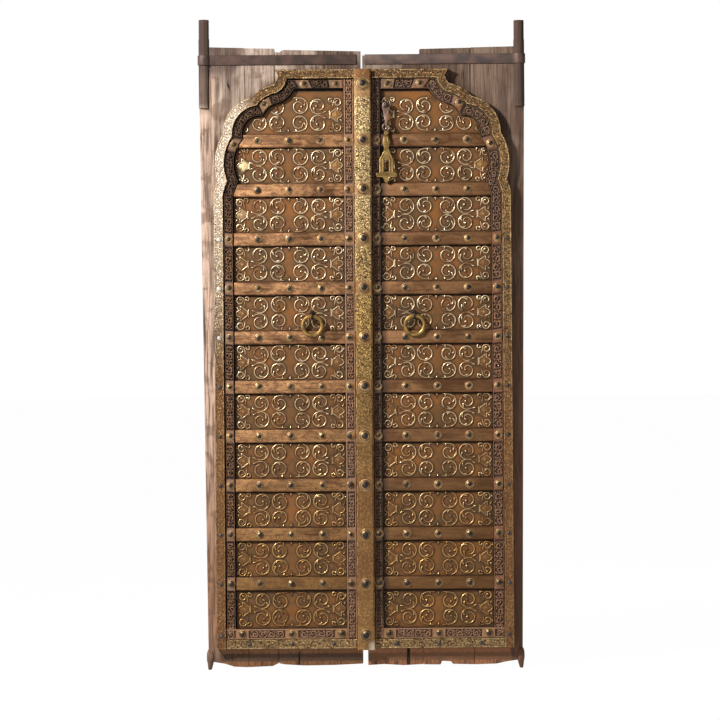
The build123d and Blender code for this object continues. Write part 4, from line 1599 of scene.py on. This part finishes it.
@dataclass
class Band:
    """A long strip that stands on the planks, ruled between pairs of points as (reach, height)."""

    side: Side
    rungs: list[Rung]
    studs: list[Vector] = field(default_factory=list)
    block: float = 0.022
    seed: int = 17

    def middles(self) -> list[Vector]:
        """Middle of each rung."""
        return [(near + far) / 2 for near, far in self.rungs]

    def lengths(self) -> list[float]:
        """Distance of each rung along the band."""
        middles = self.middles()
        lengths = [0.0]
        for low, high in zip(middles, middles[1:]):
            lengths.append(lengths[-1] + (high - low).length)
        return lengths

    def raised(self) -> list[float]:
        """How far each rung belongs to a plain block about a stud."""
        levels = []
        for middle in self.middles():
            gap = min(((middle - stud).length for stud in self.studs), default=1.0)
            levels.append(min(1.0, max(0.0, (self.block - gap) / 0.002)))
        return levels

    def place(self, along: float, across: float, lengths: list[float]) -> Point:
        """Point in the door's frame from a distance along the band and one across it.

        Args:
            along: Distance along the band.
            across: Distance from its middle, outwards.
            lengths: Distance of each rung along the band.

        Returns:
            The point's X and Z.
        """
        order = min(len(lengths) - 2, max(0, bisect_right(lengths, along) - 1))
        share = (along - lengths[order]) / max(1e-6, lengths[order + 1] - lengths[order])
        near = self.rungs[order][0].lerp(self.rungs[order + 1][0], share)
        far = self.rungs[order][1].lerp(self.rungs[order + 1][1], share)
        spot = near.lerp(far, 0.5 + across / (far - near).length)
        return (self.side.value * spot.x, spot.y)

    def mesh(self, low: Sequence[Point], high: Sequence[Point], finish: Material) -> Mesh:
        """The strip, with one profile between its blocks and another on them.

        Args:
            low: Profile between blocks, as shares across and depths in front of the planks.
            high: Profile on blocks, with as many points.
            finish: Material of the strip.

        Returns:
            The closed mesh.
        """
        work = bmesh.new()
        block = work.verts.layers.float.new("block")
        rows = []
        for (near, far), level in zip(self.rungs, self.raised()):
            row = []
            for (share0, depth0), (share1, depth1) in zip(low, high):
                spot = near.lerp(far, share0 + (share1 - share0) * level)
                depth = depth0 + (depth1 - depth0) * level
                vertex = work.verts.new((self.side.value * spot.x, SIZES.y_at(depth), spot.y))
                vertex[block] = level
                row.append(vertex)
            rows.append(row)
        count = len(low)
        for before, after in zip(rows, rows[1:]):
            for order in range(count):
                follow = (order + 1) % count
                work.faces.new((before[order], before[follow], after[follow], after[order]))
        work.faces.new(rows[0])
        work.faces.new(rows[-1])
        bmesh.ops.recalc_face_normals(work, faces=work.faces)
        return plain_mesh(work, "band", finish)

    def foliage(self, half: float, margin: float = 0.002) -> list[Stroke]:
        """Curling leaves along the sunk runs between blocks.

        Args:
            half: Half of the width that they fill.
            margin: Distance that they keep from the blocks.

        Returns:
            The strokes, in the door's frame.
        """
        lengths, levels = self.lengths(), self.raised()
        runs: list[list[float]] = []
        for length, level in zip(lengths, levels):
            if level > 0:
                runs.append([])
            elif runs:
                runs[-1].append(length)
            else:
                runs.append([length])
        strokes: list[Stroke] = []
        rng = random.Random(self.seed)
        for run in runs:
            if len(run) < 2 or run[-1] - run[0] < half * 2:
                continue
            start, end = run[0] + margin, run[-1] - margin
            count = max(1, round((end - start) / (half * 2.15)))
            pitch = (end - start) / count
            for order in range(count):
                flip = 1.0 if order % 2 else -1.0
                curl = min(half, pitch * 0.47) * rng.uniform(0.62, 0.8)
                middle = (rng.uniform(-0.07, 0.07) * pitch, rng.uniform(-0.12, 0.02) * half)
                parts = [spiral(middle, rng.uniform(0.54, 0.66), rng.uniform(0.8, 1.1), curl, curl * 0.22,
                                ((-pitch * 0.5, half * 0.75),), 14, 1.2)]
                for right, up in ((1, 1), (1, -1), (-1, -1), (-1, 1)):
                    edge, corner = rng.uniform(0.05, 0.16), rng.uniform(0.4, 0.47)
                    parts.append(comma((right * pitch * edge, up * half),
                                       (right * pitch * corner, up * half * rng.uniform(0.5, 0.7)),
                                       -right * up * 0.001, 4))
                    parts.append(comma((right * pitch * 0.47, up * half * rng.uniform(0.05, 0.2)),
                                       (right * pitch * rng.uniform(0.36, 0.44), up * half * 0.42),
                                       right * up * 0.0008, 4))
                centre = start + pitch * (order + 0.5)
                for part in parts:
                    spots = tuple(self.place(centre + x, z * flip, lengths) for x, z in part.points)
                    strokes.append(Stroke(spots, part.shares))
        return strokes


@dataclass
class Bands:
    """Every band of a leaf: brass border and sill, carved border, meeting strip and bottom rail."""

    side: Side
    finishes: Finishes
    ridge_width: float = 0.0028
    flatness: float = 1.9
    border_lines: Point = (0.0342, 0.0638)
    border_foot: float = 0.069
    sill_span: Point = (0.0692, 0.1000)
    carved_line: float = 0.0338
    carved_foot: float = 0.1004
    edge_rise: float = 0.0012

    @property
    def meeting_reach(self) -> float:
        """Reach of the bands' ends at the astragal."""
        return 0.0265 if self.side is Side.LEFT else 0.0325

    @property
    def open_gap(self) -> float:
        """Share of the carved border's width that is open on each side; the right leaf's has all but closed."""
        return 0.11 if self.side is Side.LEFT else 0.025

    def over_arch(self, near: float, far: float, feet: Point, end: float) -> list[Rung]:
        """Rungs of a band up the outer side and over the shoulder.

        Args:
            near: How far outside the field's edge its inner line runs.
            far: How far outside the field's edge its outer line runs.
            feet: Heights where its inner and outer lines start.
            end: Reach where it ends.

        Returns:
            The rungs from the foot to the meeting side.
        """
        lines = []
        mitre = max(feet) + 0.004
        for grow, foot in ((near, feet[0]), (far, feet[1])):
            arch = SIZES.edge_line(grow)
            heights = spaced(foot, mitre, 12)[:-1] + spaced(mitre, arch[0].y, 288)[:-1]
            upright = [Vector((arch[0].x, height)) for height in heights]
            head = [Vector((arch[-1].x + (end - arch[-1].x) * step / 50, arch[-1].y)) for step in range(1, 51)]
            lines.append([*upright, *arch, *head])
        return list(zip(*lines))

    def level_band(self, span: Point, reaches: Iterable[float], studs: Sequence[Vector] = ()) -> Band:
        """A level band between two heights."""
        return Band(self.side, [tuple(Vector((reach, z)) for z in span) for reach in reaches], list(studs))

    def brass_bands(self) -> None:
        """Makes the engraved border and sill, each with a raised edge on both sides."""
        leaf, finish = self.side.leaf, self.finishes.engraved
        depth, rim = SIZES.border_depth, SIZES.border_depth - self.edge_rise
        high = both_sides([(0.0, 0.0), (0.0, depth - 0.002), (0.05, depth), (0.13, depth), (0.16, rim)])
        drop = SIZES.border_depth - SIZES.sill_depth
        low = [(share, max(0.0, height - drop)) for share, height in high]
        border = Band(self.side, self.over_arch(*self.border_lines, (self.border_foot,) * 2, self.meeting_reach))
        sill = self.level_band(self.sill_span, spaced(self.meeting_reach, SIZES.opening_reach - 0.0006, 90))
        for name, node, band, profile in (("border", "border", border, high), ("sill", "sill_strip", sill, low)):
            add_piece(f"{leaf}_engraved_{name}", band.mesh(profile, profile, finish), self.side.body,
                      [f"{leaf}_{node}"])

    def carved_bands(self) -> None:
        """Makes the carved border, meeting strip and bottom rail, with leaves between the blocks about their studs."""
        leaf, finish = self.side.leaf, self.finishes.carved
        studs = [Vector((self.side.value * x, z)) for x, _, z in head_feet(f"{leaf}_studs")]
        top, floor = SIZES.carved_depth, SIZES.carved_depth - SIZES.carved_recess
        rise = [(self.open_gap + share, depth) for share, depth in (
            (0.0, 0.004), (0.005, top - 0.003), (0.02, top - 0.0006), (0.045, top - 0.0006), (0.065, floor))]
        gapped = both_sides([(0.0, 0.0), (0.0, 0.004), *rise])
        plain = 0.47 - self.open_gap
        gapped_block = [(share, top if abs(share - 0.5) < plain else height) for share, height in gapped]
        tight = both_sides([(0.0, 0.0), (0.0, top - 0.0025), (0.05, top), (0.12, top), (0.15, floor)])
        tight_block = [(share, top if 0.1 < share < 0.9 else height) for share, height in tight]
        feet = (SIZES.field_foot + SIZES.clearance, self.carved_foot)
        carved = Band(self.side, self.over_arch(0.0, self.carved_line, feet, SIZES.field_inner + 0.0002), studs)
        heights = spaced(self.carved_foot, SIZES.head - SIZES.clearance, 360)
        ends = (self.meeting_reach, SIZES.field_inner - SIZES.clearance)
        meeting = Band(self.side, [tuple(Vector((reach, z)) for reach in ends) for z in heights], studs)
        reaches = spaced(SIZES.field_inner, SIZES.opening_reach - SIZES.clearance, 120)
        foot = self.level_band((self.carved_foot, SIZES.field_foot), reaches, studs)
        jobs = [("carved_border", carved, gapped, gapped_block, 0.0143 - 0.032 * self.open_gap),
                ("inner_strip", meeting, tight, tight_block, 0.0098),
                ("bottom_rail", foot, tight, tight_block, 0.0115)]
        for name, band, low, high, half in jobs:
            relief = raised_mesh(band.foliage(half), self.ridge_width, self.flatness, SIZES.y_at(floor), finish)
            whole = joined([band.mesh(low, high, finish), relief], finish)
            add_piece(f"{leaf}_foliage_{name}", whole, self.side.body, [f"{leaf}_{name}"])

    def build(self) -> None:
        """Makes the bands and puts them in place of their plain solids."""
        self.brass_bands()
        self.carved_bands()


@dataclass
class EasedPieces:
    """Pieces that keep their solid's form, with eased edges and a finish."""

    finishes: Finishes
    foot_reach: float = 0.5075
    foot_top: float = 0.07
    foot_front: float = 0.002
    knuckle: tuple[Point, ...] = ((0.0, 0.0), (0.0, 0.0046), (0.003, 0.0062), (0.014, 0.0084), (0.024, 0.0102),
                                  (0.028, 0.0119), (0.036, 0.0126), (0.048, 0.0125), (0.057, 0.0112),
                                  (0.0655, 0.0078), (0.069, 0.0))
    knuckle_sides: int = 18
    plank_ease: float = 0.0022
    knuckle_reach: float = 0.5013
    knuckle_y: float = 0.008
    tooth_lean: float = 0.0022

    def worn_edge(self, corner: Vector) -> Vector:
        """Moves a corner of a meeting plank so that the gap closes towards the top, as old leaves sag."""
        if abs(corner.x) > 0.01:
            return corner
        return Vector((corner.x * (1.35 - 0.9 * corner.z / SIZES.leaf_head), corner.y, corner.z))

    def worn_foot(self, corner: Vector) -> Vector:
        """Moves a corner of a hanging stile's foot back inside the worn knuckle."""
        side = math.copysign(1.0, corner.x)
        if corner.z < 0.002 and corner.x * side > 0.495:
            return Vector((side * self.knuckle_reach, self.knuckle_y, corner.z + 0.004))
        if corner.z < self.foot_top and corner.x * side > 0.49:
            return Vector((side * min(corner.x * side, self.foot_reach), max(corner.y, self.foot_front), corner.z))
        return corner

    def worn_knuckle(self, side: Side) -> Mesh:
        """The rounded knuckle at the foot of a hanging stile, with its tooth.

        Args:
            side: Leaf of the stile.

        Returns:
            The closed mesh.
        """
        work = bmesh.new()
        hoops = []
        for z, radius in self.knuckle:
            lean = self.tooth_lean * max(0.0, 1.0 - z / 0.03)
            middle = Vector((side.value * (self.knuckle_reach + lean), self.knuckle_y, z))
            turns = [math.tau * step / self.knuckle_sides for step in range(self.knuckle_sides)] if radius else [0.0]
            hoops.append([work.verts.new(middle + Vector((math.cos(a), math.sin(a), 0.0)) * radius) for a in turns])
        for low, high in zip(hoops, hoops[1:]):
            for step in range(self.knuckle_sides):
                ring = [low[step % len(low)], low[(step + 1) % len(low)],
                        high[(step + 1) % len(high)], high[step % len(high)]]
                work.faces.new(list(dict.fromkeys(ring)))
        bmesh.ops.recalc_face_normals(work, faces=work.faces)
        mesh = plain_mesh(work, "knuckle", self.finishes.planks)
        mesh.shade_smooth()
        return mesh

    def build(self) -> None:
        """Makes each piece and puts it in place of its solid."""
        looks = self.finishes
        jobs: list[tuple[str, str, float, Material, str]] = []
        for side in Side:
            jobs += [(f"{side.leaf}_{piece}", side.body, width, finish, slot) for piece, width, finish, slot in (
                ("middle_plank", self.plank_ease, looks.planks, "old_planks"),
                ("back_ledges", self.plank_ease, looks.ledges, "old_planks"),
                ("rails", 0.0016, looks.rail, "rail_brass"),
                ("strap", 0.001, looks.iron, "old_iron"))]
        jobs.append(("astragal", Side.LEFT.body, 0.002, looks.engraved, "border_brass"))
        jobs.append(("chain_staple", Side.RIGHT.body, 0.0008, looks.iron, "old_iron"))
        for node, body, width, finish, slot in jobs:
            add_piece(f"{node}_eased", eased_copy(node, width, 2, finish), body, [node])
        for side in Side:
            node = f"{side.leaf}_meeting_plank"
            plank = eased_copy(node, self.plank_ease, 2, looks.planks, self.worn_edge)
            add_piece(f"{node}_eased", plank, side.body, [node])
            node = f"{side.leaf}_hanging_stile"
            stile = eased_copy(node, self.plank_ease, 2, looks.planks, self.worn_foot)
            whole = joined([stile, self.worn_knuckle(side)], looks.planks)
            add_piece(f"{node}_eased", whole, side.body, [node])


@dataclass
class Bosses:
    """The astragal's large domed bosses."""

    finishes: Finishes
    radius: float = 0.0196
    height: float = 0.0098
    seed: int = 3

    def build(self) -> None:
        """Sets the domes in place of the plain bosses."""
        node = "astragal_bosses"
        looks = self.finishes
        mesh = domed_mesh(head_feet(node), self.radius, self.height, self.seed, looks.stud, looks.nail)
        add_piece("astragal_domes", mesh, Side.LEFT.body, [node])


@dataclass
class Chain:
    """The link and the slotted hasp that hang on the right leaf."""

    finishes: Finishes
    x: float = 0.078
    link_y: float = -0.029
    eye_height: float = 1.8165
    eye_radius: float = 0.0098
    hasp_front: float = -0.032
    shank: tuple[Point, ...] = ((0.0095, 1.8075), (0.0075, 1.79), (0.005, 1.771))
    knob_columns: tuple[int, ...] = (-1, 0, 1)

    def line(self, *points: Point, share: float = 1.0) -> Stroke:
        """A stroke through points given from the chain's middle line."""
        return Stroke(tuple((self.x + across, z) for across, z in points), (share,) * len(points))

    def link(self) -> None:
        """Makes the link: its forged loops with a flat tapering shank and a broad upper eye."""
        strokes = [self.line(*round_line(0.0, self.eye_height, self.eye_radius))]
        for across in (-0.75, -0.25, 0.25, 0.75):
            strokes.append(Stroke(tuple((self.x + across * half, z) for half, z in self.shank), (1.0, 0.95, 0.75)))
        finish = self.finishes.link
        relief = raised_mesh(strokes, 0.0034, 0.85, self.link_y, finish)
        whole = joined([eased_copy("chain_link", 0.001, 2, finish), relief], finish)
        add_piece("chain_link_forged", whole, "chain_link", ["chain_link"])

    def hasp(self) -> None:
        """Makes the hasp: its cut plate with ribs beside the slot, a knobbed collar and a moulded foot."""
        strokes = [self.line((-half, z), (half, z), share=0.9) for half, z in ((0.0062, 1.7200), (0.0085, 1.6920))]
        for column in self.knob_columns:
            strokes.append(self.line((column * 0.0052, 1.6985), (column * 0.0052, 1.7140), share=1.5))
        for column in self.knob_columns:
            across, drop = column * 0.0058, abs(column) * 0.001
            strokes.append(self.line((across - 0.0012, 1.6815 - drop), (across + 0.0012, 1.6800 - drop), share=1.5))
        for column in self.knob_columns:
            across = column * 0.0068
            strokes.append(self.line((across - 0.001, 1.6735), (across + 0.001, 1.6725), share=1.3))
        for flip in (-1, 1):
            strokes.append(self.line((flip * 0.0108, 1.6035), (flip * 0.0108, 1.6460), share=0.95))
            outer = ((0.0195, 1.6035), (0.0190, 1.6460), (0.0130, 1.6580), (0.0085, 1.6660))
            strokes.append(self.line(*((flip * across, z) for across, z in outer), share=0.95))
        strokes.append(self.line(*round_line(0.0, 1.7469, 0.0112), share=1.5))
        strokes.append(self.line((-0.0108, 1.6470), (0.0, 1.6560), (0.0108, 1.6470), share=0.9))
        strokes += [self.line((-0.0310, z), (0.0310, z)) for z in (1.5985, 1.5930)]
        strokes.append(self.line((-0.0100, 1.5870), (-0.0055, 1.5760), (0.0, 1.5720), (0.0055, 1.5760),
                                 (0.0100, 1.5870), share=0.8))
        finish = self.finishes.hasp
        relief = raised_mesh(strokes, 0.0022, 1.1, self.hasp_front, finish)
        whole = joined([eased_copy("hasp", 0.0016, 3, finish), relief], finish)
        add_piece("hasp_moulded", whole, "hasp", ["hasp"])

    def build(self) -> None:
        """Makes the link and the hasp."""
        self.link()
        self.hasp()


@dataclass
class RingPulls:
    """The two forged ring pulls."""

    finishes: Finishes
    segments: int = 64
    around: int = 16
    stoutness: float = 1.36
    eye_radius: float = 0.0058
    eye_bar: float = 0.0030
    eye_y: float = -0.0168
    eye_drop: float = 0.004

    def staple(self, side: Side) -> None:
        """Makes the staple that a ring hangs on, with its forged eye.

        Args:
            side: Leaf of the ring.
        """
        node = f"{side.leaf}_ring_staple"
        low, high = (Vector(corner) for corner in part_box(node))
        line = round_line((low.x + high.x) / 2, high.z - self.eye_drop, self.eye_radius, 16)
        finish = self.finishes.nail
        eye = raised_mesh([Stroke(tuple(line), (1.0,) * len(line))], self.eye_bar, 1.0, self.eye_y, finish)
        whole = joined([eased_copy(node, 0.0008, 2, finish), eye], finish)
        add_piece(f"{node}_forged", whole, side.body, [node])

    def build(self) -> None:
        """Makes each ring round and puts it in place of its faceted solid."""
        for side in Side:
            self.staple(side)
            node = f"{side.leaf}_ring"
            low, high = (Vector(corner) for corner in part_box(node))
            centre = (low + high) / 2
            bar = (high.y - low.y) / 2
            mean = (high.x - low.x) / 2 - bar
            work = bmesh.new()
            hoops = []
            for step in range(self.segments):
                turn = math.tau * step / self.segments
                swell = 1.0 + 0.05 * math.sin(turn * 3 + side.value) - 0.04 * math.cos(turn * 5)
                thick = bar * swell * self.stoutness
                hoop = []
                for order in range(self.around):
                    angle = math.tau * order / self.around
                    reach = mean + thick * math.cos(angle)
                    spot = Vector((reach * math.sin(turn), thick * math.sin(angle), reach * math.cos(turn)))
                    hoop.append(work.verts.new(centre + spot))
                hoops.append(hoop)
            for step, hoop in enumerate(hoops):
                after = hoops[(step + 1) % self.segments]
                for order in range(self.around):
                    follow = (order + 1) % self.around
                    work.faces.new((hoop[order], hoop[follow], after[follow], after[order]))
            bmesh.ops.recalc_face_normals(work, faces=work.faces)
            mesh = plain_mesh(work, "ring", self.finishes.ring)
            mesh.shade_smooth()
            add_piece(f"{side.leaf}_ring_pull", mesh, node, [node])


@dataclass
class Studio:
    """Pale floor, soft light and the camera that looks square at the carved face."""

    distance: float = 8.0
    frame_width: float = 2.326
    aim: tuple[float, float] = (-0.0116, 0.998)
    roll: float = math.radians(0.42)
    sensor: float = 36.0
    floor_reach: float = 60.0
    floor_glow: float = 0.985
    ambient: float = 0.14
    white: Colour = (1.0, 1.0, 1.0, 1.0)

    def floor(self) -> None:
        """Lays the pale floor that runs out to the horizon."""
        mesh = bpy.data.meshes.new("studio_floor")
        far = self.floor_reach
        mesh.from_pydata([(-far, -far, 0.0), (far, -far, 0.0), (far, far, 0.0), (-far, far, 0.0)], [], [(0, 1, 2, 3)])
        shade = Shader("studio_floor")
        material = shade.finish((0.88, 0.88, 0.88, 1.0), 0.9)
        ray = shade.node("LightPath").outputs
        seen = shade.times(shade.most(ray["Is Camera Ray"], ray["Is Glossy Ray"]), self.floor_glow)
        glow = shade.node("Emission", {"Color": self.white})
        blend = shade.node("MixShader", {0: seen, 1: shade.body.outputs[0], 2: glow.outputs[0]})
        feed(shade.tree, shade.tree.nodes["Material Output"], {"Surface": blend.outputs[0]})
        mesh.materials.append(material)
        linked("studio_floor", mesh)

    def lamp(self, name: str, place: Sequence[float], size: float, power: float, target: Sequence[float]) -> None:
        """Hangs a square soft lamp that points at a place.

        Args:
            name: Name of the lamp.
            place: Where it hangs.
            size: Its side.
            power: Its power in watts.
            target: What it points at.
        """
        data = bpy.data.lights.new(name, "AREA")
        data.size = size
        data.energy = power
        lamp = linked(name, data)
        lamp.location = place
        lamp.rotation_euler = (Vector(target) - Vector(place)).to_track_quat("-Z", "Y").to_euler()

    def light(self) -> None:
        """Sets the lamps and the pale surroundings."""
        self.lamp("key", (-2.9, -2.75, 3.4), 0.45, 372.0, (0.0, 0.0, 1.05))
        self.lamp("fill", (3.4, -4.6, 1.8), 3.0, 32.0, (0.0, 0.0, 0.9))
        self.lamp("back", (1.5, 3.5, 3.0), 3.0, 90.0, (0.0, 0.0, 1.0))
        world = bpy.data.worlds.new("studio")
        bpy.context.scene.world = world
        world.use_nodes = True
        tree = world.node_tree
        ambient = tree.nodes["Background"]
        feed(tree, ambient, {"Color": self.white, "Strength": self.ambient})
        backdrop = add_node(tree, "ShaderNodeBackground", {"Color": self.white, "Strength": 1.0})
        seen = add_node(tree, "ShaderNodeLightPath").outputs["Is Camera Ray"]
        blend = add_node(tree, "ShaderNodeMixShader", {0: seen, 1: ambient.outputs[0], 2: backdrop.outputs[0]})
        feed(tree, tree.nodes["World Output"], {"Surface": blend.outputs[0]})

    def camera(self) -> None:
        """Stands the camera square to the carved face."""
        data = bpy.data.cameras.new("camera")
        data.sensor_width = self.sensor
        data.lens = self.sensor * self.distance / self.frame_width
        camera = linked("camera", data)
        camera.location = (self.aim[0], -self.distance, self.aim[1])
        camera.rotation_euler = (math.radians(90.0), self.roll, 0.0)
        bpy.context.scene.camera = camera

    def build(self) -> None:
        """Sets the floor, the light, the camera and the plain view."""
        self.floor()
        self.light()
        self.camera()
        bpy.context.scene.view_settings.view_transform = "Standard"


def main() -> None:
    """Builds the dressed door in order."""
    logging.basicConfig(level=logging.INFO, format="%(name)s %(message)s")
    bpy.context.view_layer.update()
    finishes = Finishes()
    EasedPieces(finishes).build()
    for side in Side:
        EmbossedPanels(side, finishes, seed=11 + side.value).build()
        Bands(side, finishes).build()
        StudRows(side, finishes, seed=5 + side.value).build()
    Bosses(finishes).build()
    RingPulls(finishes).build()
    Chain(finishes).build()
    Studio().build()


if __name__ == "__main__":
    main()
